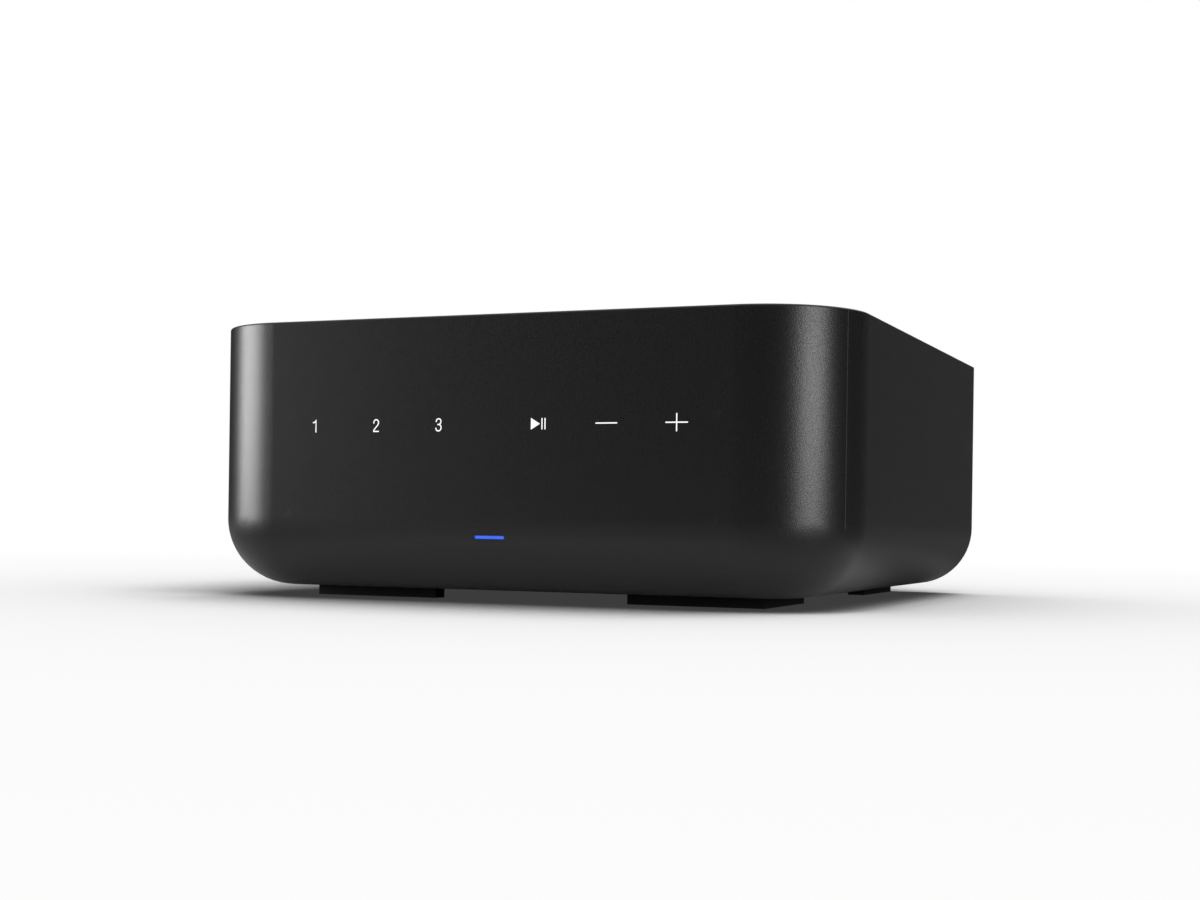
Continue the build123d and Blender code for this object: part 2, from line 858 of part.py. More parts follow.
def optical_shutter():
    """Sprung flap across the optical input, hung from a pin along its top edge."""
    half = optical_bore_width / 2
    width = optical_bore_width - 2 * shutter_gap
    low = main_top + optical_sill + shutter_gap
    leaf = block(around(optical_x, width), around(shutter_y, shutter_thickness), (low, shutter_z))
    leaf += rod_x(shutter_y, shutter_z, optical_x - width / 2, optical_x + width / 2, shutter_thickness / 2)
    reach = half + shutter_pin_reach
    return leaf + rod_x(shutter_y, shutter_z, optical_x - reach, optical_x + reach, shutter_pin_radius)


def sensor_jack():
    """Small round jack on the main board with a plain barrel through the panel."""
    z = main_top + sensor_height / 2
    y = (panel_front - sensor_depth, panel_front)
    jack = block(around(sensor_x, sensor_width), y, (main_top, main_top + sensor_height))
    jack += rod_y(sensor_x, z, panel_front, socket_face, sensor_barrel_radius)
    bore = (socket_face - sensor_bore_depth, socket_face + wall)
    return jack - rod_y(sensor_x, z, *bore, sensor_bore_radius)


def push_button(x):
    """Button with a retaining flange inside the panel and a plunger into its switch."""
    flange_face = panel_front - fit_gap
    flange_back = flange_face - button_flange_thickness
    button = rod_y(x, button_z, flange_face, rear + button_proud, button_radius)
    button += rod_y(x, button_z, flange_back, flange_face, button_flange_radius)
    y = (switch_face() - plunger_engagement, flange_back)
    return button + block(around(x, plunger_width), y, around(button_z, plunger_width))


def switch_face():
    """The face of a switch, clear of the button's flange when the button is pressed."""
    return panel_front - fit_gap - button_flange_thickness - button_travel - fit_gap


def button_switches():
    """Side-acting switches on the main board behind the two buttons."""
    face = switch_face()
    for x in (connect_x, pair_x):
        y = (face - switch_depth, face)
        switch = block(around(x, switch_width), y, (main_top, main_top + switch_height))
        y = (face - plunger_engagement - button_travel - fit_gap, face + wall)
        bore = plunger_width + 2 * plunger_gap
        yield switch - block(around(x, bore), y, around(button_z, bore))


def amplifier_chips():
    z = (board_top, board_top + chip_height)
    for x in around(heatsink_inset - half_width, chip_spread):
        yield block(around(x, chip_width), around(rear - heatsink_y, chip_length), z)


def heatsink():
    """Extruded heatsink: a base on the chips, a leg down to the board at each end, and upright fins."""
    x, y = heatsink_inset - half_width, around(rear - heatsink_y, heatsink_length)
    base_low = board_top + chip_height
    base_high = base_low + heatsink_base
    left, right = around(x, heatsink_width)
    sink = block((left, right), y, (base_low, base_high))
    sink += block((left, left + heatsink_leg), y, (board_top, base_low))
    sink += block((right - heatsink_leg, right), y, (board_top, base_low))
    pitch = (heatsink_width - fin_thickness) / (fin_count - 1)
    for n in range(fin_count):
        fin = (left + n * pitch, left + n * pitch + fin_thickness)
        sink += block(fin, y, (base_high, board_top + heatsink_height))
    return sink


def output_inductors():
    first = board_left + inductor_inset - inductor_pitch / 2
    size = inductor_size
    for x in (first, first + inductor_pitch):
        for y in around(rear - inductor_y, inductor_pitch):
            yield block(around(x, size), around(y, size), (board_top, board_top + inductor_height))


def can(x, y, height):
    """An electrolytic capacitor standing on a board."""
    body = rod_z(x, y, board_top, board_top + height, can_radius)
    return chamfer(body.edges().group_by(Axis.Z)[-1], can_bevel)


def amplifier_capacitors():
    for x in around(board_left + can_inset, can_pitch):
        yield can(x, rear - can_y, can_height)


def supply_capacitors():
    for n in range(2):
        yield can(supply_can_x, rear - supply_can_y + n * supply_can_pitch, supply_can_height)


def transformer_core():
    """Ferrite frame with a middle leg."""
    x, y = around(core_x, core_width), around(rear - core_y, core_length)
    z = (board_top, board_top + core_height)
    core = block(x, y, z)
    window = (core_width - 3 * core_leg) / 2
    for centre in (core_x - core_leg / 2 - window / 2, core_x + core_leg / 2 + window / 2):
        opening = (board_top + core_leg, board_top + core_height - core_leg)
        core -= block(around(centre, window), (y[0] - wall, y[1] + wall), opening)
    return core


def transformer_winding():
    """Insulated winding that fills the core's windows and bulges out of both faces."""
    window = (core_width - 3 * core_leg) / 2
    y = around(rear - core_y, core_length + 2 * core_leg)
    z = (board_top + core_leg + winding_gap, board_top + core_height - core_leg - winding_gap)
    coil = block(around(core_x, core_leg + 2 * window - 2 * winding_gap), y, z)
    hole = block(
        around(core_x, core_leg + 2 * winding_gap),
        around(rear - core_y, core_length + 2 * winding_gap),
        (board_top, board_top + core_height),
    )
    return coil - hole


def line_choke():
    x, y = around(choke_x, choke_width), around(rear - choke_y, choke_length)
    choke = block(x, y, (board_top, board_top + choke_height))
    return fillet(choke.edges().filter_by(Axis.Z), choke_width / 4)


def filter_capacitor():
    x, y = around(filter_x, filter_width), around(rear - filter_y, filter_length)
    return block(x, y, (board_top, board_top + filter_height))


def shield_can():
    """Screening can over the streaming module."""
    x, y = around(shield_x, shield_width), around(rear - shield_y, shield_length)
    can_form = block(x, y, (main_top, main_top + shield_height))
    return fillet(can_form.edges().filter_by(Axis.Z), board_thickness)


def antennas():
    for side in (-1, 1):
        x = between(side * (half_width - wall), side * (half_width - wall - antenna_thickness))
        yield block(x, around(front + antenna_y, antenna_length), around(antenna_z, antenna_height))


def antenna_leads():
    """Thin coaxial leads from the shield can's sides to the antennas on the side walls."""
    z = main_top + lead_rise
    for side in (-1, 1):
        start = Vector(shield_x + side * shield_width / 2, rear - shield_y, z)
        end = Vector(side * (half_width - wall - antenna_thickness), front + antenna_y, antenna_z)
        turn = end.X - side * (lead_bend + lead_spread)
        path = FilletPolyline(start, (turn, start.Y, z), (turn, end.Y, antenna_z), end, radius=lead_bend)
        section = Plane(origin=start, z_dir=(side, 0, 0)) * RegularPolygon(lead_radius, 6)
        yield sweep(section, path=path)


def board_links():
    """Flat links: one up from the amplifier board to the main board, one across to the supply board."""
    x, y = around(link_x, link_width), rear - link_y
    high = board_top + link_connector_height
    upright = block(x, around(y, link_thickness), (board_top, main_low))
    for z in ((board_top, high), (main_low - link_connector_height, main_low)):
        upright += block(x, around(y, link_connector_depth), z)
    yield upright
    left, right = amplifier_board_right - link_connector_depth, supply_board_left + link_connector_depth
    wide = around(rear - jumper_y, link_width)
    jumper = block((left, amplifier_board_right), wide, (board_top, high))
    jumper += block((supply_board_left, right), wide, (board_top, high))
    yield jumper + block((left, right), wide, (high - link_thickness, high))


def touch_ribbon():
    """Flat cable from the back of the touch board to the front edge of the main board."""
    high = main_top + 2 * link_connector_height + ribbon_bend
    end_y = main_front + 2 * link_connector_depth
    low = touch_high - ribbon_drop
    with BuildLine() as line:
        points = [(touch_back, low), (touch_back + 3 * ribbon_bend, low)]
        points += [(touch_back + 6 * ribbon_bend, high), (end_y, high), (end_y, main_top)]
        FilletPolyline(*points, radius=ribbon_bend)
    section = trace(line.line, link_thickness)
    plane = Plane(origin=(ribbon_x - link_width / 2, 0, 0), x_dir=(0, 1, 0), z_dir=(1, 0, 0))
    return extrude(plane * section, link_width)


pieces = {
    "outer_shell": outer_shell(),
    "top_cover": top_cover(),
    "rear_panel": rear_panel(),
    "foot_front_left": foot(-1, -1),
    "foot_front_right": foot(1, -1),
    "foot_rear_left": foot(-1, 1),
    "foot_rear_right": foot(1, 1),
    "light_guide": light_guide(),
    "rear_panel_screws": rear_panel_screws(),
    "base_screws": base_screws(),
    "chassis_tray": chassis_tray(),
    "amplifier_board": lower_board(board_left, amplifier_board_right),
    "power_supply_board": lower_board(supply_board_left, board_right),
    "main_board": main_board(),
    "board_standoffs": board_standoffs(),
    "board_screws": board_screws(),
    "symbol_diffuser": symbol_diffuser(),
    "touch_board": touch_board(),
    "status_led": status_led(),
    "terminal_block": terminal_block(),
    "terminal_stems": [terminal_stem(x, z) for x, z in terminals.values()],
    "jack_blocks": jack_blocks(),
    "jack_sleeves": jack_sleeves(),
    "jack_inserts_left": jack_inserts(jacks_left),
    "jack_inserts_right": jack_inserts(jacks_right),
    "jack_insert_sub": jack_inserts(jacks_sub),
    "mains_inlet": mains_inlet(),
    "mains_pins": mains_pins(),
    "network_socket": network_socket(),
    "usb_socket": usb_socket(),
    "av_socket": av_socket(),
    "socket_tongues": socket_tongues(),
    "optical_socket": optical_socket(),
    "optical_shutter": optical_shutter(),
    "sensor_jack": sensor_jack(),
    "connect_button": push_button(connect_x),
    "pair_button": push_button(pair_x),
    "button_switches": button_switches(),
    "amplifier_chips": amplifier_chips(),
    "heatsink": heatsink(),
    "output_inductors": output_inductors(),
    "amplifier_capacitors": amplifier_capacitors(),
    "supply_capacitors": supply_capacitors(),
    "transformer_core": transformer_core(),
    "transformer_winding": transformer_winding(),
    "line_choke": line_choke(),
    "filter_capacitor": filter_capacitor(),
    "shield_can": shield_can(),
    "antennas": antennas(),
    "antenna_leads": antenna_leads(),
    "board_links": board_links(),
    "touch_ribbon": touch_ribbon(),
}
for place, (x, z) in terminals.items():
    pieces["terminal_washer_" + place] = terminal_washer(x, z)
    pieces["terminal_cap_" + place] = terminal_cap(x, z)

os.makedirs("parts", exist_ok=True)
for name, piece in pieces.items():
    solids = [piece] if isinstance(piece, (Compound, Solid)) else list(piece)
    solids = [solid for part in solids for solid in part.solids()]
    whole = solids[0] if len(solids) == 1 else Compound(solids)
    export_step(whole, f"parts/{name}.step")
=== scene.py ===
"""Finishes of a compact streaming amplifier: textured housing, lit touch symbols, status light, feet,
speaker terminals, sockets and boards, in a small pale studio."""

import math

import bmesh
import bpy
from mathutils import Matrix, Vector


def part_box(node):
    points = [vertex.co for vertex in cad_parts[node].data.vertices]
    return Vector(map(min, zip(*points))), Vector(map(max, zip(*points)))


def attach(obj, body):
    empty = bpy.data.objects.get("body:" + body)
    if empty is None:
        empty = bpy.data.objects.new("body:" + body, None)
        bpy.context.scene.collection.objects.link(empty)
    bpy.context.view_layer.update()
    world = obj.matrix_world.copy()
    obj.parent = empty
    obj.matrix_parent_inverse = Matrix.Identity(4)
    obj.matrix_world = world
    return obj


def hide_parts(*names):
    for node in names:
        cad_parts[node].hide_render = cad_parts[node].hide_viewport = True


bl_info = {
    "name": "Streaming amplifier finishes",
    "version": (1, 0, 0),
    "blender": (4, 5, 0),
    "location": "View3D > Sidebar > Amplifier",
    "description": "Builds the finishes and the fine parts of a compact streaming amplifier",
    "category": "Object",
}

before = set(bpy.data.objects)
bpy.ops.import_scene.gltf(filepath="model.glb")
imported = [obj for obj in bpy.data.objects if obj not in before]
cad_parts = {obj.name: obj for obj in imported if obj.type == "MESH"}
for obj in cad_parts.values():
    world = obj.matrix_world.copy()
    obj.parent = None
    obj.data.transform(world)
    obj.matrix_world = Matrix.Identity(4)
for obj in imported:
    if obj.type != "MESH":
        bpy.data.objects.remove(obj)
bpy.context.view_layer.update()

MM = 0.001
BODY = "amplifier"
TERMINALS = ("a_plus", "a_minus", "b_plus", "b_minus")
CORNER_RADIUS = 30.5 * MM
BELLY_TOP = 24.0 * MM
CREASE = math.radians(35)
# nearly all of a noise texture lies between these values
NOISE_SPAN = (0.3, 0.7)


def linear(code):
    """A colour written as sRGB hex, as linear red, green and blue with full alpha."""
    parts = [int(code[i : i + 2], 16) / 255 for i in (1, 3, 5)]
    return tuple(c / 12.92 if c <= 0.04045 else ((c + 0.055) / 1.055) ** 2.4 for c in parts) + (1.0,)


def length(name, description, default_mm, highest_mm):
    """A size that the user may change, kept in metres."""
    return bpy.props.FloatProperty(
        name=name, description=description, default=default_mm * MM, min=0.0,
        max=highest_mm * MM, precision=5, subtype="DISTANCE", unit="LENGTH",
    )


def level(name, description, default):
    """A plain number that the user may change."""
    return bpy.props.FloatProperty(name=name, description=description, default=default, min=0.0)


def share(name, description, default):
    """A share from 0 to 1 that the user may change."""
    return bpy.props.FloatProperty(
        name=name, description=description, default=default, min=0.0, max=1.0, subtype="FACTOR"
    )


def colour(name, description, code):
    """A colour that the user may change."""
    return bpy.props.FloatVectorProperty(
        name=name, description=description, default=linear(code), size=4, min=0.0, max=1.0, subtype="COLOR"
    )


class HousingSettings(bpy.types.PropertyGroup):
    housing_colour: colour("Housing", "Colour of the moulded housing", "#141415")
    panel_colour: colour("Panel", "Colour of the cover and the rear panel", "#121213")
    rubber_colour: colour("Feet", "Colour of the rubber feet", "#0f0f0f")
    roughness: share("Roughness", "Roughness of the housing's surface", 0.33)
    grain: length("Grain", "Size of the spark-eroded grain of the housing", 0.33, 3.0)
    relief: length("Relief", "Height of that grain", 0.037, 0.2)
    run_out: length("Run-out", "How softly the rounded corners run out into the flat sides", 2.5, 6.0)
    witness_width: length("Witness line", "Width of the mould line on the front corners", 0.5, 2.0)
    witness_rise: length("Witness rise", "Height of the mould line", 0.03, 0.3)


class SymbolSettings(bpy.types.PropertyGroup):
    stroke: length("Stroke", "Width of the lines of the digits", 0.37, 2.0)
    bar: length("Bar", "Width of the lines of minus, plus and pause", 0.37, 2.0)
    height: length("Height", "Height of the digits", 4.0, 10.0)
    pitch: length("Pitch", "Distance between the centres of neighbouring symbols", 21.4, 30.0)
    middle_gap: length("Middle gap", "Distance between the centres of the two middle symbols", 32.8, 60.0)
    level: length("Level", "Height of the symbols above the ground", 53.3, 80.0)
    offset: length("Offset", "How far the row of symbols sits left of the middle", 0.42, 5.0)
    light_height: length("Light height", "Height of the lit bar of the status light", 0.8, 1.4)
    symbol_colour: colour("Symbols", "Colour of the lit symbols", "#ffffff")
    status_colour: colour("Status", "Colour of the status light", "#3b69f2")


class TerminalSettings(bpy.types.PropertyGroup):
    flute_count: bpy.props.IntProperty(
        name="Flutes", description="Grooves round each terminal cap", default=14, min=6, max=40
    )
    flute_depth: length("Flute depth", "Depth of the grooves", 0.6, 1.5)
    plus_colour: colour("Plus", "Colour of the plus caps", "#8e1414")
    minus_colour: colour("Minus", "Colour of the minus caps", "#17171a")


class StudioSettings(bpy.types.PropertyGroup):
    floor_colour: colour("Floor", "Colour of the floor", "#e8e8e8")
    velvet_colour: colour("Velvet", "Colour of the dark cloth in front and on the left", "#282828")
    reflector_colour: colour("Reflector", "Colour of the card at the front left", "#7c7c7c")
    right_colour: colour("Right", "Colour of the cloth on the right", "#464646")
    rear_colour: colour("Rear", "Colour of the cloth behind the object", "#5c5c5c")
    ground_colour: colour("Ground", "Colour of the card close to the front", "#e6e6e6")
    ground_rear_colour: colour("Rear ground", "Colour of the card close to the rear", "#929292")
    ground_far_colour: colour("Far ground", "Colour of the card further out in front", "#a0a0a0")
    ground_reach: length("Ground reach", "Radius at which the near colours end", 160.0, 1000.0)
    ground_far: length("Far ground reach", "Radius at which the card turns to cloth", 650.0, 1000.0)
    left_lamp: level("Left lamp", "Radiance of the left strip", 10.8)
    right_lamp: level("Right lamp", "Radiance of the right strip", 13.3)
    ambient: level("Ambient", "Level of the light from all round", 0.9)
    floor_lift: level("Floor lift", "What turns the lit floor white close to the object", 2.4)
    floor_limit: level("Floor limit", "The palest that the floor gets", 1.07)
    # painted shadow: an occlusion node darkens the floor's colour near the object, lighter on the right,
    # where no lamp lights the floor
    painted_shadow_depth: level("Shadow depth", "How much the contact shadow is deepened in front", 3.6)
    painted_shadow_depth_right: level("Shadow depth right", "The same on the right, where the strip lights it", 0.9)
    # painted bounce light: a share of white painted into the floor close to the object, lifting the shadow
    # under it
    painted_bounce: share("Bounce", "Light that reaches the floor under the object", 0.045)
    painted_shadow_reach: length("Shadow reach", "How far the deepened contact shadow reaches", 110.0, 500.0)
    focal: level("Focal length", "Focal length of the camera, in millimetres", 50.62)
    camera_shift: bpy.props.FloatVectorProperty(
        name="Camera shift", description="Shift of the picture across and up", size=2, precision=4,
        default=(0.0156, 0.0618),
    )
    camera_turn: level("Camera turn", "How far right of the front the camera looks from, in degrees", 23.068)
    camera_roll: level("Camera roll", "How far the camera leans, in degrees", 0.811)
    camera_place: bpy.props.FloatVectorProperty(
        name="Camera place", description="Where the camera stands", size=3, precision=6,
        default=(0.220582, -0.552923, 0.024206), subtype="TRANSLATION", unit="LENGTH",
    )


def add(tree, kind, values=None, links=None, **settings):
    """A node with its settings, its socket values by name or number, and its incoming links."""
    node = tree.nodes.new(kind)
    for key, value in settings.items():
        setattr(node, key, value)
    for key, value in (values or {}).items():
        node.inputs[key].default_value = value
    for key, source in (links or {}).items():
        tree.links.new(source, node.inputs[key])
    return node


def ramp(tree, source, start, end, low=0.0, high=1.0, kind="LINEAR"):
    """A value that goes from low, where the source is at start, to high, where it is at end."""
    values = {"From Min": start, "From Max": end, "To Min": low, "To Max": high}
    node = add(tree, "ShaderNodeMapRange", values, {"Value": source}, interpolation_type=kind)
    return node.outputs["Result"]


def calc(tree, operation, *terms):
    """The result of a sum on numbers and sockets."""
    numbers = {i: term for i, term in enumerate(terms) if isinstance(term, float)}
    sockets = {i: term for i, term in enumerate(terms) if i not in numbers}
    return add(tree, "ShaderNodeMath", numbers, sockets, operation=operation).outputs["Value"]


def start_material(name, **values):
    """A new material, its tree and its shader, whose sockets take the values given."""
    material = bpy.data.materials.new(name)
    material.use_nodes = True
    tree = material.node_tree
    shader = tree.nodes["Principled BSDF"]
    for key, value in values.items():
        shader.inputs[key.replace("_", " ")].default_value = value
    return material, tree, shader


def shade(rgba, factor):
    """A darker or lighter version of a linear colour."""
    return tuple(min(c * factor, 1.0) for c in rgba[:3]) + (1.0,)


def moulded(name, rgba, roughness, grain, relief, mottle=0.08, specular=0.5):
    """An injection-moulded plastic or rubber. The mould's spark-eroded texture gives a fine even grain
    that breaks up reflections, and slow changes of tone where the plastic flowed."""
    material, tree, shader = start_material(
        name, IOR=1.54, Specular_IOR_Level=specular, Roughness=roughness
    )
    flow = 25.0 * MM
    place = add(tree, "ShaderNodeTexCoord").outputs["Object"]
    fine = add(
        tree, "ShaderNodeTexNoise", {"Scale": 1 / grain, "Detail": 1.0, "Roughness": 0.5}, {"Vector": place}
    )
    broad = add(tree, "ShaderNodeTexNoise", {"Scale": 1 / flow, "Detail": 2.0}, {"Vector": place})
    mixed = add(
        tree, "ShaderNodeMixRGB", {"Color1": shade(rgba, 1 - mottle), "Color2": shade(rgba, 1 + mottle)},
        {"Fac": broad.outputs["Fac"]},
    )
    tree.links.new(mixed.outputs["Color"], shader.inputs["Base Color"])
    spread = ramp(tree, fine.outputs["Fac"], *NOISE_SPAN, roughness * 0.9, roughness * 1.1)
    tree.links.new(spread, shader.inputs["Roughness"])
    bump = add(
        tree, "ShaderNodeBump", {"Strength": 1.0, "Distance": relief}, {"Height": fine.outputs["Fac"]}
    )
    tree.links.new(bump.outputs["Normal"], shader.inputs["Normal"])
    return material


def plated(name, code, roughness, along=(1.0, 1.0, 1.0), streak=0.4 * MM):
    """A plated, drawn or brushed metal. Drawing and wiping leave fine lines that spread its highlights."""
    material, tree, shader = start_material(name, Metallic=1.0)
    place = add(tree, "ShaderNodeTexCoord").outputs["Object"]
    laid = add(tree, "ShaderNodeMapping", {"Scale": along}, {"Vector": place})
    lines = add(
        tree, "ShaderNodeTexNoise", {"Scale": 1 / streak, "Detail": 4.0}, {"Vector": laid.outputs["Vector"]}
    )
    tone = add(
        tree, "ShaderNodeMixRGB", {"Color1": shade(linear(code), 0.88), "Color2": linear(code)},
        {"Fac": lines.outputs["Fac"]},
    )
    tree.links.new(tone.outputs["Color"], shader.inputs["Base Color"])
    spread = ramp(tree, lines.outputs["Fac"], *NOISE_SPAN, roughness * 0.85, roughness * 1.15)
    tree.links.new(spread, shader.inputs["Roughness"])
    bump = add(
        tree, "ShaderNodeBump", {"Strength": 0.5, "Distance": 0.004 * MM}, {"Height": lines.outputs["Fac"]}
    )
    tree.links.new(bump.outputs["Normal"], shader.inputs["Normal"])
    return material


def solder_mask(name, code):
    """Glass-epoxy board under a green solder mask. Copper tracks show through as paler, raised lines."""
    material, tree, shader = start_material(name, Roughness=0.35, IOR=1.5)
    spacing = 3.2 * MM
    place = add(tree, "ShaderNodeTexCoord").outputs["Object"]
    cells = add(
        tree, "ShaderNodeTexVoronoi", {"Scale": 1 / spacing}, {"Vector": place},
        feature="DISTANCE_TO_EDGE", distance="MANHATTAN",
    )
    track = ramp(tree, cells.outputs["Distance"], 0.04, 0.07, low=1.0, high=0.0)
    tone = add(
        tree, "ShaderNodeMixRGB", {"Color1": linear(code), "Color2": shade(linear(code), 1.7)},
        {"Fac": track},
    )
    tree.links.new(tone.outputs["Color"], shader.inputs["Base Color"])
    bump = add(tree, "ShaderNodeBump", {"Strength": 1.0, "Distance": 0.03 * MM}, {"Height": track})
    tree.links.new(bump.outputs["Normal"], shader.inputs["Normal"])
    return material


def glowing(name, rgba, strength, cell):
    """A lit plastic window. The lamp behind it is brightest in the middle of each cell of its diffuser."""
    material, tree, shader = start_material(name, Roughness=0.3)
    shader.inputs["Base Color"].default_value = shade(rgba, 0.1)
    place = add(tree, "ShaderNodeTexCoord").outputs["Object"]
    cloud = add(tree, "ShaderNodeTexNoise", {"Scale": 1 / cell, "Detail": 1.0}, {"Vector": place})
    glow = ramp(tree, cloud.outputs["Fac"], 0.2, 0.8, strength * 0.94, strength * 1.06)
    shader.inputs["Emission Color"].default_value = rgba
    tree.links.new(glow, shader.inputs["Emission Strength"])
    return material


def paint(material, *nodes):
    """Gives CAD nodes their finish."""
    for name in nodes:
        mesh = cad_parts[name].data
        mesh.materials.clear()
        mesh.materials.append(material)


def new_mesh(name, mesh, material):
    """A mesh made from a bmesh, which is freed, with its finish."""
    data = bpy.data.meshes.new(name)
    mesh.to_mesh(data)
    mesh.free()
    data.materials.append(material)
    return data


def place_piece(name, mesh, material, body, smooth=True):
    """A new piece from a bmesh, with its finish, riding on a body."""
    bmesh.ops.recalc_face_normals(mesh, faces=mesh.faces[:])
    data = new_mesh(name, mesh, material)
    if smooth:
        data.shade_smooth()
        data.set_sharp_from_angle(angle=CREASE)
    piece = bpy.data.objects.new(name, data)
    bpy.context.scene.collection.objects.link(piece)
    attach(piece, body)
    return piece


def islands(node):
    """The lowest and highest corner of each separate solid of a CAD node."""
    mesh = bmesh.new()
    mesh.from_mesh(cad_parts[node].data)
    bmesh.ops.remove_doubles(mesh, verts=mesh.verts[:], dist=0.001 * MM)
    left = set(mesh.verts)
    found = []
    while left:
        group = [left.pop()]
        for vert in group:
            near = [edge.other_vert(vert) for edge in vert.link_edges]
            fresh = [v for v in near if v in left]
            left.difference_update(fresh)
            group += fresh
        low = Vector(min(v.co[k] for v in group) for k in range(3))
        high = Vector(max(v.co[k] for v in group) for k in range(3))
        found.append((low, high))
    mesh.free()
    return sorted(found, key=lambda pair: tuple(round(c, 5) for c in pair[0]))


def ring_of(mesh, place, radius, height, steps):
    """Adds a ring of corners. The radius may be a function of the angle, and the height of x and y."""
    corners = []
    for i in range(steps):
        angle = math.tau * i / steps
        r = radius(angle) if callable(radius) else radius
        x, y = r * math.cos(angle), r * math.sin(angle)
        z = height(x, y) if callable(height) else height
        corners.append(mesh.verts.new(place @ Vector((x, y, z))))
    return corners


def skin(mesh, rings, closed=False):
    """Adds the faces between neighbouring rings, and from the last ring to the first where closed."""
    others = rings[1:] + rings[:1] if closed else rings[1:]
    for ring, after in zip(rings, others):
        for i in range(len(ring)):
            j = (i + 1) % len(ring)
            mesh.faces.new((ring[i], ring[j], after[j], after[i]))


def prism(mesh, near, far):
    """Adds a solid between two outlines that have as many points each."""
    ends = [[mesh.verts.new(point) for point in outline] for outline in (near, far)]
    for end in ends:
        mesh.faces.new(end)
    skin(mesh, ends)


def lathe(mesh, profile, place, steps):
    """Adds a turned form. The profile is a closed list of radius and height. Place turns the form's +Z
    axis and centre to where it belongs."""
    skin(mesh, [ring_of(mesh, place, radius, height, steps) for radius, height in profile], closed=True)


def along_y(x, y, z):
    """A frame whose +Z axis points along +Y, at a point."""
    return Matrix.Translation((x, y, z)) @ Matrix.Rotation(math.radians(-90), 4, "X")


def stroke_outline(points, width, round_steps=6):
    """The outline of a line of even width with rounded ends, along a list of points in a plane."""
    half = width / 2
    sharpest = 0.45
    path = [Vector(p) for p in points]
    left, right = [], []
    for i, point in enumerate(path):
        before = (point - path[i - 1]).normalized() if i else None
        after = (path[i + 1] - point).normalized() if i + 1 < len(path) else None
        run = ((before or after) + (after or before)).normalized()
        side = Vector((-run.y, run.x))
        one = before or after
        reach = half / max(side.dot(Vector((-one.y, one.x))), sharpest)
        left.append(point + side * reach)
        right.append(point - side * reach)
    ends = []
    for centre, run in ((path[-1], path[-1] - path[-2]), (path[0], path[0] - path[1])):
        facing = math.atan2(run.y, run.x)
        turn = [facing + math.pi * (0.5 - k / round_steps) for k in range(1, round_steps)]
        ends.append([centre + half * Vector((math.cos(t), math.sin(t))) for t in turn])
    return left + ends[0] + right[::-1] + ends[1]


def smooth_path(points, steps=8):
    """A soft curve through a list of points in a plane."""
    path = [Vector(p) for p in points]
    path = [2 * path[0] - path[1]] + path + [2 * path[-1] - path[-2]]
    soft = []
    for a, b, c, d in zip(path, path[1:], path[2:], path[3:]):
        for k in range(steps):
            t = k / steps
            bend = (2 * a - 5 * b + 4 * c - d) * t * t + (3 * b - a - 3 * c + d) * t**3
            soft.append(0.5 * (2 * b + (c - a) * t + bend))
    return soft + [path[-2]]


class AMPLIFIER_OT_housing(bpy.types.Operator):
    """Finish the housing, its cover and its rear panel, and draw the mould lines on the front corners"""

    bl_idname = "amplifier.housing"
    bl_label = "Housing"

    def execute(self, context):
        s = context.scene.amplifier_housing
        # ABS moulded in a spark-eroded tool: near black, satin, with a fine even grain. The real grain is
        # about 0.1 mm, too fine to show, so it is drawn as coarse as the render needs
        shell = moulded("moulded_abs_satin", s.housing_colour, s.roughness, s.grain, s.relief)
        low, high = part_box("outer_shell")
        self.soften(shell.node_tree, s.run_out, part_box("light_guide")[1], high.z - 2 * s.run_out)
        paint(shell, "outer_shell")
        # ABS with a coarser, duller texture, so that the rear reads flatter than the front
        panel = moulded("moulded_abs_matt", s.panel_colour, 0.55, 0.5 * MM, 0.012 * MM)
        paint(panel, "top_cover", "rear_panel")
        # where the two halves of the mould meet the texture is missing, and the line is drawn paler: a
        # painted highlight, the light that its fine ridge catches
        line = moulded("mould_line_painted_highlight", shade(s.housing_colour, 4.5), 0.5, s.grain, 0.004 * MM)
        # the line stands this far round the corner from the side face
        turn = math.radians(25)
        top = high.z - 0.7 * MM
        rise = s.witness_rise
        half = s.witness_width / CORNER_RADIUS / 2
        for side, name in ((1, "witness_line_right"), (-1, "witness_line_left")):
            centre = Vector((side * (high.x - CORNER_RADIUS), low.y + CORNER_RADIUS))
            corners = []
            for reach, angle in ((-rise, turn - half), (rise, turn), (-rise, turn + half)):
                away = Vector((side * math.cos(angle), -math.sin(angle))) * (CORNER_RADIUS + reach)
                corners.append(centre + away)
            mesh = bmesh.new()
            prism(mesh, *([(p.x, p.y, z) for p in corners] for z in (BELLY_TOP, top)))
            place_piece(name, mesh, line, BODY)
        return {"FINISHED"}

    def soften(self, tree, run_out, window, high):
        """Lets the rounded corners and the belly run out softly into the flats. The edges of the light
        window, given by its highest corner, and the top edge stay crisp."""
        bump = next(node for node in tree.nodes if node.bl_idname == "ShaderNodeBump")
        place = add(tree, "ShaderNodeTexCoord").outputs["Object"]
        axes = add(tree, "ShaderNodeSeparateXYZ", None, {"Vector": place})
        side = calc(tree, "ABSOLUTE", axes.outputs["X"])
        # each goes from where the softening is whole to where it has gone
        top = ramp(tree, axes.outputs["Z"], high, high + 0.3 * MM)
        low = ramp(tree, axes.outputs["Z"], window.z + 4 * MM, window.z + 1 * MM)
        near = ramp(tree, side, window.x + 11 * MM, window.x + 3 * MM)
        plain = calc(tree, "MAXIMUM", top, calc(tree, "MULTIPLY", low, near))
        soft = add(tree, "ShaderNodeBevel", {"Radius": run_out}, samples=8).outputs["Normal"]
        true = add(tree, "ShaderNodeNewGeometry").outputs["Normal"]
        normal = add(tree, "ShaderNodeMixRGB", None, {"Fac": plain, "Color1": soft, "Color2": true})
        tree.links.new(normal.outputs["Color"], bump.inputs["Normal"])


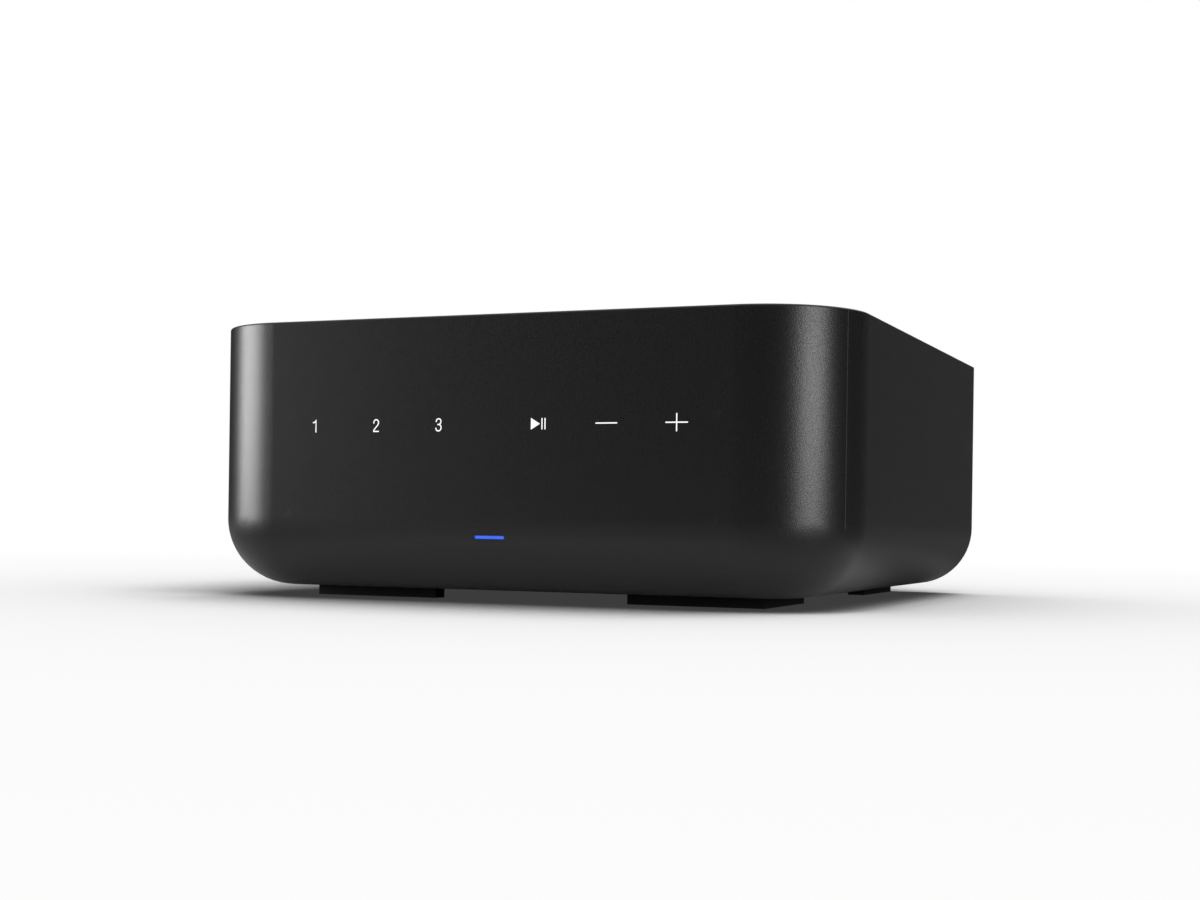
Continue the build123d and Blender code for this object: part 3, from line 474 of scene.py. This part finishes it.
class AMPLIFIER_OT_symbols(bpy.types.Operator):
    """Draw the six lit touch symbols on the front"""

    bl_idname = "amplifier.symbols"
    bl_label = "Touch symbols"

    def execute(self, context):
        s = context.scene.amplifier_symbols
        # white light through openings in the paint of the front wall: flat, even, crisp at its edges
        lit = glowing("light_through_paint", s.symbol_colour, 1.0, 1.5 * MM)
        proud, depth = 0.01 * MM, 0.05 * MM
        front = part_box("outer_shell")[0].y - proud
        drawn_height = 4.05
        unit = s.height / drawn_height
        steps = [s.middle_gap / 2 + k * s.pitch for k in range(3)]
        centres = [x - s.offset for x in [-step for step in reversed(steps)] + steps]

        def digit(path):
            return stroke_outline([p * unit for p in path], s.stroke)

        def bar(x0, z0, x1, z1):
            inner = s.bar / 2
            run = (Vector((x1, z1)) * unit - Vector((x0, z0)) * unit).normalized() * inner
            start, end = Vector((x0, z0)) * unit + run, Vector((x1, z1)) * unit - run
            return stroke_outline([start, end], s.bar)

        two = smooth_path(
            [(-0.84, 0.78), (-0.62, 1.5), (0.0, 1.82), (0.62, 1.52), (0.84, 0.88), (0.5, 0.1), (-0.72, -1.3)]
        )
        notch = (0.05, 0.12)
        three_top = smooth_path(
            [(-0.82, 1.02), (-0.6, 1.6), (0.0, 1.84), (0.6, 1.62), (0.8, 1.05), (0.6, 0.4), notch]
        )
        three_top.append(Vector((-0.26, 0.11)))
        three_low = smooth_path(
            [notch, (0.66, -0.16), (0.87, -0.85), (0.66, -1.5), (0.0, -1.84), (-0.66, -1.6), (-0.9, -1.0)]
        )
        flag = [Vector((-0.9, 1.1)), Vector((-0.3, 1.25)), Vector((0.1, 1.75)), Vector((0.1, -1.8))]
        foot = [Vector((-0.84, -1.8)), Vector((0.86, -1.8))]
        triangle = [(-2.42, 1.66), (-2.32, 1.7), (0.42, 0.07), (0.42, -0.07), (-2.32, -1.7), (-2.42, -1.66)]
        shapes = {
            "symbol_1": (digit(flag),),
            "symbol_2": (digit(two + foot),),
            "symbol_3": (digit(three_top), digit(three_low)),
            "symbol_play_pause": (
                [Vector(p) * unit for p in triangle],
                bar(1.18, -1.72, 1.18, 1.72),
                bar(2.16, -1.72, 2.16, 1.72),
            ),
            "symbol_minus": (bar(-3.45, 0.0, 3.45, 0.0),),
            "symbol_plus": (bar(-3.45, 0.0, 3.45, 0.0), bar(0.0, -2.65, 0.0, 2.65)),
        }
        for (name, outlines), x in zip(shapes.items(), centres):
            mesh = bmesh.new()
            for outline in outlines:
                ends = (front, front + depth)
                prism(mesh, *([(x + p[0], y, s.level + p[1]) for p in outline] for y in ends))
            place_piece(name, mesh, lit, BODY, smooth=False)
        return {"FINISHED"}


class AMPLIFIER_OT_status_light(bpy.types.Operator):
    """Light the status window low on the front"""

    bl_idname = "amplifier.status_light"
    bl_label = "Status light"

    def execute(self, context):
        s = context.scene.amplifier_symbols
        # clear polycarbonate light guide over a blue diode: a bright bar that fades into the dark window
        low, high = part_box("light_guide")
        glow = glowing("lit_polycarbonate_blue", s.status_colour, 1.0, 2.0 * MM)
        self.fade(glow.node_tree, low, high, s.light_height / 2)
        paint(glow, "light_guide", "status_led")
        # milky acrylic sheet that spreads the light of the touch board
        milky = moulded("milky_acrylic", linear("#dcdcd8"), 0.5, 0.4 * MM, 0.003 * MM, mottle=0.02)
        paint(milky, "symbol_diffuser")
        return {"FINISHED"}

    def fade(self, tree, low, high, half):
        """Lets the glow fall off above and below its bar, and at its left end."""
        shader = tree.nodes["Principled BSDF"]
        glow = shader.inputs["Emission Strength"].links[0].from_socket
        place = add(tree, "ShaderNodeTexCoord").outputs["Object"]
        axes = add(tree, "ShaderNodeSeparateXYZ", None, {"Vector": place})
        middle = (low.z + high.z) / 2
        dark = 0.05
        away = calc(tree, "ABSOLUTE", calc(tree, "SUBTRACT", axes.outputs["Z"], middle))
        bar = ramp(tree, away, half - 0.1 * MM, half + 0.15 * MM, 1.0, dark, "SMOOTHSTEP")
        along = ramp(tree, axes.outputs["X"], low.x + 0.4 * MM, low.x + 0.9 * MM, dark, kind="SMOOTHSTEP")
        for factor in (bar, along):
            glow = calc(tree, "MULTIPLY", glow, factor)
        tree.links.new(glow, shader.inputs["Emission Strength"])


class AMPLIFIER_OT_feet(bpy.types.Operator):
    """Finish the four rubber feet"""

    bl_idname = "amplifier.feet"
    bl_label = "Feet"

    def execute(self, context):
        s = context.scene.amplifier_housing
        # nitrile rubber pressed in a plain mould: dark, dull and slightly dusty
        rubber = moulded(
            "pressed_nitrile_rubber", s.rubber_colour, 0.8, 0.25 * MM, 0.02 * MM, mottle=0.15, specular=0.3
        )
        paint(rubber, "foot_front_left", "foot_front_right", "foot_rear_left", "foot_rear_right")
        return {"FINISHED"}


class AMPLIFIER_OT_screws(bpy.types.Operator):
    """Build the cross-head screws of the rear panel and the base"""

    bl_idname = "amplifier.screws"
    bl_label = "Screws"

    def execute(self, context):
        # steel with black zinc: dark, with worn glints on the edges of the recess
        finish = plated("black_zinc_steel", "#2c2c2f", 0.38, streak=0.3 * MM)
        for node, low_head in (("rear_panel_screws", False), ("base_screws", True)):
            mesh = bmesh.new()
            for low, high in islands(node):
                middle = (low + high) / 2
                if low_head:
                    place = Matrix.Translation((middle.x, middle.y, low.z)) @ Matrix.Rotation(math.pi, 4, "X")
                    reach = high.z - low.z
                else:
                    place = along_y(middle.x, high.y, middle.z)
                    reach = high.y - low.y
                head = (high.x - low.x) / 2
                self.screw(mesh, place, head, reach)
            piece = place_piece(node + "_finished", mesh, finish, BODY)
            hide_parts(node)
        return {"FINISHED"}

    def screw(self, mesh, place, head, reach):
        """A pan-head screw with a cross recess. Its top is at the frame's origin, looking along +Z."""
        rise = 1.7 * MM
        crown = 0.45 * MM
        arm, slot, deep = 1.5 * MM, 0.36 * MM, 0.9 * MM
        shank, pitch, thread_depth = 1.45 * MM, 0.5 * MM, 0.2 * MM
        steps = 64
        head_rings = 18

        def face(x, y):
            inside = max(abs(x), abs(y)) < arm and min(abs(x), abs(y)) < slot
            return -crown * (math.hypot(x, y) / head) ** 3 - (deep if inside else 0.0)

        profile = [(head * k / head_rings, face) for k in range(1, head_rings + 1)]
        profile += [(head, -rise + 0.1 * MM), (head - 0.1 * MM, -rise), (shank, -rise)]
        for k in range(int((reach - rise) / pitch) - 1):
            profile.append((shank - thread_depth, -rise - (k + 0.5) * pitch))
            profile.append((shank, -rise - (k + 1) * pitch))
        profile.append((0.3 * MM, -reach))
        rings = [ring_of(mesh, place, radius, height, steps) for radius, height in profile]
        skin(mesh, rings)
        mesh.faces.new(rings[-1])
        centre = mesh.verts.new(place @ Vector((0, 0, -deep)))
        for i in range(steps):
            mesh.faces.new((centre, rings[0][i], rings[0][(i + 1) % steps]))


class AMPLIFIER_OT_terminals(bpy.types.Operator):
    """Build the fluted caps of the speaker terminals, and finish their stems, washers and block"""

    bl_idname = "amplifier.terminals"
    bl_label = "Speaker terminals"

    def execute(self, context):
        s = context.scene.amplifier_terminals
        # clear-lacquered polycarbonate, dyed right through: glossier than the panel
        red = moulded("moulded_polycarbonate_red", s.plus_colour, 0.28, 0.4 * MM, 0.002 * MM)
        black = moulded("moulded_polycarbonate_black", s.minus_colour, 0.28, 0.4 * MM, 0.002 * MM)
        for key in TERMINALS:
            low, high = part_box("terminal_cap_" + key)
            middle = (low + high) / 2
            outer = (high.x - low.x) / 2
            deep = high.y - low.y
            # clear of the stem that the cap turns on
            bore = 3.06 * MM

            def grooved(share_of_depth, radius=outer):
                def at(angle):
                    wave = (0.5 + 0.5 * math.cos(s.flute_count * angle)) ** 2
                    return radius - share_of_depth * s.flute_depth * wave

                return at

            profile = [
                (bore, 0.0),
                (outer - 0.3 * MM, 0.0),
                (outer, 0.3 * MM),
                (outer, 1.5 * MM),
                (outer - 0.15 * MM, 1.7 * MM),
                (grooved(0.25), 1.9 * MM),
                (grooved(1.0), 2.3 * MM),
                (grooved(1.0), deep - 0.9 * MM),
                (grooved(0.7, outer - 0.12 * MM), deep - 0.45 * MM),
                (outer - 0.62 * MM, deep - 0.08 * MM),
                (outer - 0.9 * MM, deep),
                (bore + 0.5 * MM, deep),
                (bore, deep - 0.4 * MM),
            ]
            mesh = bmesh.new()
            lathe(mesh, profile, along_y(middle.x, low.y, middle.z), steps=s.flute_count * 10)
            plus = key.endswith("plus")
            piece = place_piece(
                "cap_" + key + "_fluted", mesh, red if plus else black, "cap_" + key,
            )
            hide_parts("terminal_cap_" + key)
        # nickel on turned brass: bright, with turning lines round it
        nickel = plated("nickel_on_turned_brass", "#c9c4ba", 0.2, streak=0.25 * MM)
        paint(nickel, "terminal_stems", *("terminal_washer_" + key for key in TERMINALS))
        # glass-filled PBT: matt and slightly uneven
        block = moulded("moulded_pbt_black", linear("#161617"), 0.5, 0.35 * MM, 0.01 * MM)
        paint(block, "terminal_block", "jack_blocks", "mains_inlet", "socket_tongues")
        paint(block, "optical_socket", "sensor_jack", "button_switches", "jack_insert_sub", "amplifier_chips")
        return {"FINISHED"}


class AMPLIFIER_OT_sockets(bpy.types.Operator):
    """Finish the coaxial jacks, the mains inlet and the sockets, and build their contacts"""

    bl_idname = "amplifier.sockets"
    bl_label = "Sockets"

    def execute(self, context):
        # nickel-plated steel and brass of connectors: bright, with drawing lines along it
        bright = plated("nickel_plate_drawn", "#cfcac0", 0.22, along=(1.0, 0.1, 1.0))
        paint(bright, "jack_sleeves", "mains_pins")
        # tinned deep-drawn steel of socket shells: paler and duller than nickel. The network socket's shell
        # is lined with black plastic
        tinned, lined = [
            plated(name, "#bdbdbb", 0.3, along=(1.0, 0.15, 1.0))
            for name in ("tinned_steel_drawn", "tinned_steel_lined")
        ]
        paint(tinned, "usb_socket", "av_socket")
        low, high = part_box("network_socket")
        self.line(lined.node_tree, high.y - 0.6 * MM)
        paint(lined, "network_socket")
        # moulded nylon: milky and soft in its highlights, dyed for the channels, the keys and the flap
        white = moulded("moulded_nylon_white", linear("#d9d7d0"), 0.4, 0.4 * MM, 0.003 * MM, mottle=0.03)
        red = moulded("moulded_nylon_red", linear("#a01818"), 0.4, 0.4 * MM, 0.003 * MM, mottle=0.05)
        paint(white, "jack_inserts_left")
        paint(red, "jack_inserts_right")
        grey = moulded("moulded_nylon_grey", linear("#3c3c3e"), 0.45, 0.3 * MM, 0.006 * MM)
        paint(grey, "optical_shutter", "connect_button", "pair_button")
        # gold flash over nickel on the sprung contacts: warm and bright
        gold = plated("gold_flash_contact", "#d9b25f", 0.2)
        middle = (low.x + high.x) / 2
        roof = low.z + 11.0 * MM
        wires, pitch, half, thick = 8, 1.02 * MM, 0.2 * MM, 0.3 * MM
        bends = ((12.6, 3.4), (4.5, 1.0), (3.2, 0.2))
        path = [(high.y - back * MM, roof - down * MM) for back, down in bends]
        outline = stroke_outline(smooth_path(path, 4), thick, 4)
        mesh = bmesh.new()
        for k in range(wires):
            x = middle + (k - (wires - 1) / 2) * pitch
            prism(mesh, *([(side, p[0], p[1]) for p in outline] for side in (x - half, x + half)))
        place_piece("network_contacts", mesh, gold, BODY)
        mesh = bmesh.new()
        for node in ("jack_inserts_left", "jack_inserts_right", "jack_insert_sub"):
            for low, high in islands(node):
                middle = (low + high) / 2
                # a sprung tube in the insulator's hole, with a rolled lip
                profile = [
                    (1.15 * MM, -5.5 * MM),
                    (1.4 * MM, -5.5 * MM),
                    (1.4 * MM, -1.0 * MM),
                    (1.32 * MM, -0.7 * MM),
                    (1.15 * MM, -0.9 * MM),
                ]
                lathe(mesh, profile, along_y(middle.x, high.y, middle.z), steps=28)
        place_piece("jack_centre_contacts", mesh, gold, BODY)
        mesh = bmesh.new()
        usb, av = sorted(islands("socket_tongues"), key=lambda pair: -pair[0].x)
        self.strips(mesh, usb, (-3.5, -1.0, 1.0, 3.5), 1.1 * MM, below=True)
        self.strips(mesh, av, [k - 4.5 for k in range(10)], 0.45 * MM, below=False)
        self.strips(mesh, av, [k - 4.0 for k in range(9)], 0.45 * MM, below=True)
        place_piece("tongue_contacts", mesh, gold, BODY)
        return {"FINISHED"}

    def line(self, tree, start):
        """Black plastic inside a metal shell, from just behind its front plate."""
        shader = tree.nodes["Principled BSDF"]
        metal = shader.inputs["Base Color"].links[0].from_socket
        place = add(tree, "ShaderNodeTexCoord").outputs["Object"]
        axes = add(tree, "ShaderNodeSeparateXYZ", None, {"Vector": place})
        plate = ramp(tree, axes.outputs["Y"], start - 0.1 * MM, start)
        tone = add(
            tree, "ShaderNodeMixRGB", {"Color1": linear("#18181a")}, {"Fac": plate, "Color2": metal}
        )
        tree.links.new(tone.outputs["Color"], shader.inputs["Base Color"])
        tree.links.new(plate, shader.inputs["Metallic"])

    def strips(self, mesh, tongue, offsets, width, below):
        """Flat contacts let into one face of a tongue, at offsets in millimetres from its middle."""
        low, high = tongue
        face = low.z if below else high.z
        proud = 0.05 * MM
        for offset in offsets:
            x = (low.x + high.x) / 2 + offset * MM
            size = Vector((width, high.y - low.y - 2.2 * MM, 2 * proud))
            place = Matrix.Translation((x, (low.y + high.y) / 2, face)) @ Matrix.Diagonal((*size, 1.0))
            bmesh.ops.create_cube(mesh, size=1.0, matrix=place)


class AMPLIFIER_OT_inner_parts(bpy.types.Operator):
    """Finish the tray, the boards and everything on them"""

    bl_idname = "amplifier.inner_parts"
    bl_label = "Inner parts"

    def execute(self, context):
        # zinc-plated steel sheet and screws: grey, faintly streaked by the rolls
        sheet = plated("zinc_plated_steel_sheet", "#a7abae", 0.42, along=(0.1, 1.0, 1.0), streak=0.6 * MM)
        paint(sheet, "chassis_tray", "shield_can", "antennas")
        paint(plated("zinc_plated_screw", "#9d9fa2", 0.35), "board_screws")
        # turned brass: warm, with fine rings from the tool
        paint(plated("turned_brass", "#b99a55", 0.3), "board_standoffs")
        # green lacquer over copper tracks: smooth, with the tracks paler
        mask = solder_mask("solder_mask_green", "#0f3d24")
        paint(mask, "amplifier_board", "power_supply_board", "main_board", "touch_board")
        # extruded aluminium with a clear anodised coat: die lines run along the fins
        fins = plated("extruded_aluminium_anodised", "#b4b6b8", 0.35, along=(1.0, 0.05, 1.0), streak=0.5 * MM)
        paint(fins, "heatsink")
        # sintered ferrite: dull dark grey with a ceramic speckle
        ferrite = moulded("sintered_ferrite", linear("#2b2c2e"), 0.6, 0.3 * MM, 0.015 * MM, mottle=0.2)
        paint(ferrite, "transformer_core", "output_inductors", "line_choke")
        # wound polyester tape: glossy yellow, with its laps as slow ripples
        tape = moulded("polyester_tape_yellow", linear("#c9a02c"), 0.3, 1.2 * MM, 0.02 * MM, mottle=0.12)
        paint(tape, "transformer_winding", "filter_capacitor")
        # sleeve shrunk on a can: near black and glossy, drawn tight in soft waves
        sleeve = moulded("shrunk_pvc_sleeve", linear("#15161a"), 0.25, 2.0 * MM, 0.01 * MM, mottle=0.1)
        paint(sleeve, "supply_capacitors", "amplifier_capacitors")
        # extruded cable sheath: plain grey, satin
        cable = moulded("extruded_pvc_grey", linear("#8a8c8e"), 0.45, 0.5 * MM, 0.005 * MM, mottle=0.05)
        paint(cable, "antenna_leads", "board_links", "touch_ribbon")
        return {"FINISHED"}


class AMPLIFIER_OT_studio(bpy.types.Operator):
    """Set up the floor, the soft light, the dark cards and the camera"""

    bl_idname = "amplifier.studio"
    bl_label = "Studio"

    def execute(self, context):
        s = context.scene.amplifier_studio
        scene = context.scene
        self.world(s)
        self.floor(s)
        self.strip("strip_left", azimuth=-66.3, width=0.62, span=(0.01, 0.36), radiance=s.left_lamp)
        self.strip("strip_right", azimuth=65.5, width=0.49, span=(0.07, 0.23), radiance=s.right_lamp)
        self.surround(s)
        data = bpy.data.cameras.new("camera")
        data.sensor_width = 36.0
        data.lens = s.focal
        data.shift_x, data.shift_y = s.camera_shift
        data.clip_start = 0.01
        camera = bpy.data.objects.new("camera", data)
        camera.matrix_world = (
            Matrix.Translation(s.camera_place)
            @ Matrix.Rotation(math.radians(s.camera_turn), 4, "Z")
            @ Matrix.Rotation(math.radians(90), 4, "X")
            @ Matrix.Rotation(math.radians(s.camera_roll), 4, "Z")
        )
        scene.collection.objects.link(camera)
        scene.camera = camera
        scene.view_settings.view_transform = "Standard"
        return {"FINISHED"}

    def world(self, s):
        """White to the camera, to gloss and through glass, and a plain level of light on all else."""
        world = bpy.data.worlds.new("studio")
        bpy.context.scene.world = world
        world.use_nodes = True
        tree = world.node_tree
        strength = ramp(tree, self.seen(tree), 0.0, 1.0, low=s.ambient)
        back = tree.nodes["Background"]
        back.inputs["Color"].default_value = (1, 1, 1, 1)
        tree.links.new(strength, back.inputs["Strength"])

    def seen(self, tree):
        """1 for rays that show the backdrop itself: from the camera, off gloss or through glass."""
        path = add(tree, "ShaderNodeLightPath").outputs
        direct = calc(tree, "MAXIMUM", path["Is Camera Ray"], path["Is Glossy Ray"])
        return calc(tree, "MAXIMUM", direct, path["Is Transmission Ray"])

    def floor(self, s):
        """A pale floor that keeps the contact shadow, deepens it with painted shadow, lifts it with painted
        bounce light close to the object, and fades to white away from it.
        """
        half_size = 8.0
        # the painted shadow weakens from the first X to the second, and the floor whitens between the two
        # radii
        front_end, right_start = 60 * MM, 125 * MM
        card_end, white_start = 0.3, 0.75
        mesh = bmesh.new()
        bmesh.ops.create_grid(mesh, x_segments=8, y_segments=8, size=half_size)
        material = bpy.data.materials.new("pale_floor_painted_shadow_and_bounce")
        material.use_nodes = True
        tree = material.node_tree
        tree.nodes.clear()
        seen = self.seen(tree)
        place = add(tree, "ShaderNodeTexCoord").outputs["Object"]
        axes = add(tree, "ShaderNodeSeparateXYZ", None, {"Vector": place})
        # painted shadow: an occlusion node darkens the floor's colour close to the object, on top of the real
        # shadow
        near = add(tree, "ShaderNodeAmbientOcclusion", {"Distance": s.painted_shadow_reach}, samples=8)
        # the painted shadow is made lighter towards the right; the strips do not light the floor there
        painted_shadow_power = ramp(
            tree, axes.outputs["X"], front_end, right_start, s.painted_shadow_depth, s.painted_shadow_depth_right
        )
        depth = calc(tree, "POWER", near.outputs["AO"], painted_shadow_power)
        lifted = calc(tree, "MULTIPLY", depth, s.floor_lift)
        painted_shadow_tone = calc(tree, "MINIMUM", lifted, s.floor_limit)
        tone = add(
            tree, "ShaderNodeMixRGB", {"Color1": s.floor_colour}, {"Fac": seen, "Color2": painted_shadow_tone}
        )
        card = add(tree, "ShaderNodeBsdfDiffuse", None, {"Color": tone.outputs["Color"]})
        white = add(tree, "ShaderNodeEmission", {"Color": (1, 1, 1, 1), "Strength": 1.0})
        far = add(tree, "ShaderNodeVectorMath", None, {0: place}, operation="LENGTH")
        # close to the object a share of white is painted in: painted bounce light that lifts the shadow under
        # the object
        fade = ramp(tree, far.outputs["Value"], card_end, white_start, s.painted_bounce, kind="SMOOTHSTEP")
        whiteness_and_painted_bounce = calc(tree, "MULTIPLY", fade, seen)
        mixed = add(
            tree, "ShaderNodeMixShader", None,
            {0: whiteness_and_painted_bounce, 1: card.outputs["BSDF"], 2: white.outputs["Emission"]},
        )
        add(tree, "ShaderNodeOutputMaterial", None, {"Surface": mixed.outputs["Shader"]})
        floor = bpy.data.objects.new("floor", new_mesh("floor", mesh, material))
        bpy.context.scene.collection.objects.link(floor)

    def strip(self, name, azimuth, width, span, radiance):
        """A soft strip of light from one height to another. Azimuth counts from the front to the right."""
        away = 1.1
        low, high = span
        height = high - low
        data = bpy.data.lights.new(name, "AREA")
        data.shape = "RECTANGLE"
        data.size = width
        data.size_y = height
        data.energy = radiance * math.pi * width * height
        turn = math.radians(azimuth)
        light = bpy.data.objects.new(name, data)
        light.location = (away * math.sin(turn), -away * math.cos(turn), (low + high) / 2)
        light.rotation_euler = (math.radians(90), 0, turn)
        light.visible_diffuse = False
        bpy.context.scene.collection.objects.link(light)

    def surround(self, s):
        """Cloth and card all round behind the strips, and a card under the object. Only gloss sees them:
        they keep the white background out of reflections in the sides and the belly."""
        reach, height, gap = 1.3, 0.75, 0.3 * MM
        ground, tree, shader = start_material("ground_card_matt", Roughness=0.9, Specular_IOR_Level=0.0)
        self.grade(tree, shader, s)
        self.card("ground", self.arc(gap, gap, 0, 360), self.arc(reach, gap, 0, 360), ground)
        for name, start, end, rgba in (
            ("velvet_front", -25, 80, s.velvet_colour),
            ("cloth_right", 80, 150, s.right_colour),
            ("cloth_rear", 150, 175, s.rear_colour),
            ("card_rear", 175, 205, s.ground_colour),
            ("velvet_left", 205, 275, s.velvet_colour),
            ("reflector_left", 275, 335, s.reflector_colour),
        ):
            cloth = moulded(name + "_matt", rgba, 0.9, 1.0 * MM, 0.01 * MM, mottle=0.05, specular=0.0)
            self.card(name, self.arc(reach, gap, start, end), self.arc(reach, height, start, end), cloth)

    def grade(self, tree, shader, s):
        """Grades the card under the object from the front to the rear, and from the middle outwards."""
        place = add(tree, "ShaderNodeTexCoord").outputs["Object"]
        turn = math.radians(75)
        rearward = (math.cos(turn), math.sin(turn), 0.0)
        front_end, rear_start = -20 * MM, 60 * MM
        lean = add(tree, "ShaderNodeVectorMath", {1: rearward}, {0: place}, operation="DOT_PRODUCT")
        rear = ramp(tree, lean.outputs["Value"], front_end, rear_start, kind="SMOOTHSTEP")
        far = add(tree, "ShaderNodeVectorMath", None, {0: place}, operation="LENGTH")
        tone = None
        rear_share = 0.42
        inner, outer = s.ground_reach, s.ground_far
        for front_colour, rear_colour, start, end in (
            (s.ground_colour, s.ground_rear_colour, 0.0, 0.0),
            (s.ground_far_colour, shade(s.ground_far_colour, rear_share), 0.8 * inner, 1.2 * inner),
            (s.velvet_colour, s.rear_colour, 0.85 * outer, 1.15 * outer),
        ):
            both = add(
                tree, "ShaderNodeMixRGB", {"Color1": front_colour, "Color2": rear_colour}, {"Fac": rear}
            ).outputs["Color"]
            if tone:
                step = ramp(tree, far.outputs["Value"], start, end, kind="SMOOTHSTEP")
                both = add(
                    tree, "ShaderNodeMixRGB", None, {"Fac": step, "Color1": tone, "Color2": both}
                ).outputs["Color"]
            tone = both
        tree.links.new(tone, shader.inputs["Base Color"])

    def arc(self, radius, height, start, end):
        """Points at a distance from the object. Azimuth counts from the front to the right, in degrees."""
        turns = [math.radians(t) for t in range(start, end + 1, 5)]
        return [(radius * math.sin(t), -radius * math.cos(t), height) for t in turns]

    def card(self, name, start, end, material):
        """A card between two rows of points, which only gloss sees."""
        mesh = bmesh.new()
        low = [mesh.verts.new(c) for c in start]
        high = [mesh.verts.new(c) for c in end]
        for i in range(len(low) - 1):
            mesh.faces.new((low[i], low[i + 1], high[i + 1], high[i]))
        card = bpy.data.objects.new(name, new_mesh(name, mesh, material))
        for kind in ("camera", "diffuse", "shadow", "transmission", "volume_scatter"):
            setattr(card, "visible_" + kind, False)
        bpy.context.scene.collection.objects.link(card)


class AMPLIFIER_PT_panel(bpy.types.Panel):
    """Lists the steps in the 3D view's sidebar"""

    bl_idname = "AMPLIFIER_PT_panel"
    bl_label = "Streaming amplifier"
    bl_space_type = "VIEW_3D"
    bl_region_type = "UI"
    bl_category = "Amplifier"

    def draw(self, context):
        for operator in OPERATORS:
            self.layout.operator(operator.bl_idname)


SETTINGS = {
    "amplifier_housing": HousingSettings,
    "amplifier_symbols": SymbolSettings,
    "amplifier_terminals": TerminalSettings,
    "amplifier_studio": StudioSettings,
}
OPERATORS = (
    AMPLIFIER_OT_studio,
    AMPLIFIER_OT_housing,
    AMPLIFIER_OT_symbols,
    AMPLIFIER_OT_status_light,
    AMPLIFIER_OT_feet,
    AMPLIFIER_OT_screws,
    AMPLIFIER_OT_terminals,
    AMPLIFIER_OT_sockets,
    AMPLIFIER_OT_inner_parts,
)


def register():
    for cls in (*SETTINGS.values(), *OPERATORS, AMPLIFIER_PT_panel):
        bpy.utils.register_class(cls)
    for name, cls in SETTINGS.items():
        setattr(bpy.types.Scene, name, bpy.props.PointerProperty(type=cls))


def unregister():
    for name in SETTINGS:
        delattr(bpy.types.Scene, name)
    for cls in (AMPLIFIER_PT_panel, *reversed(OPERATORS), *SETTINGS.values()):
        bpy.utils.unregister_class(cls)


def main():
    register()
    for operator in OPERATORS:
        group, step = operator.bl_idname.split(".")
        getattr(getattr(bpy.ops, group), step)()


if __name__ == "__main__":
    main()
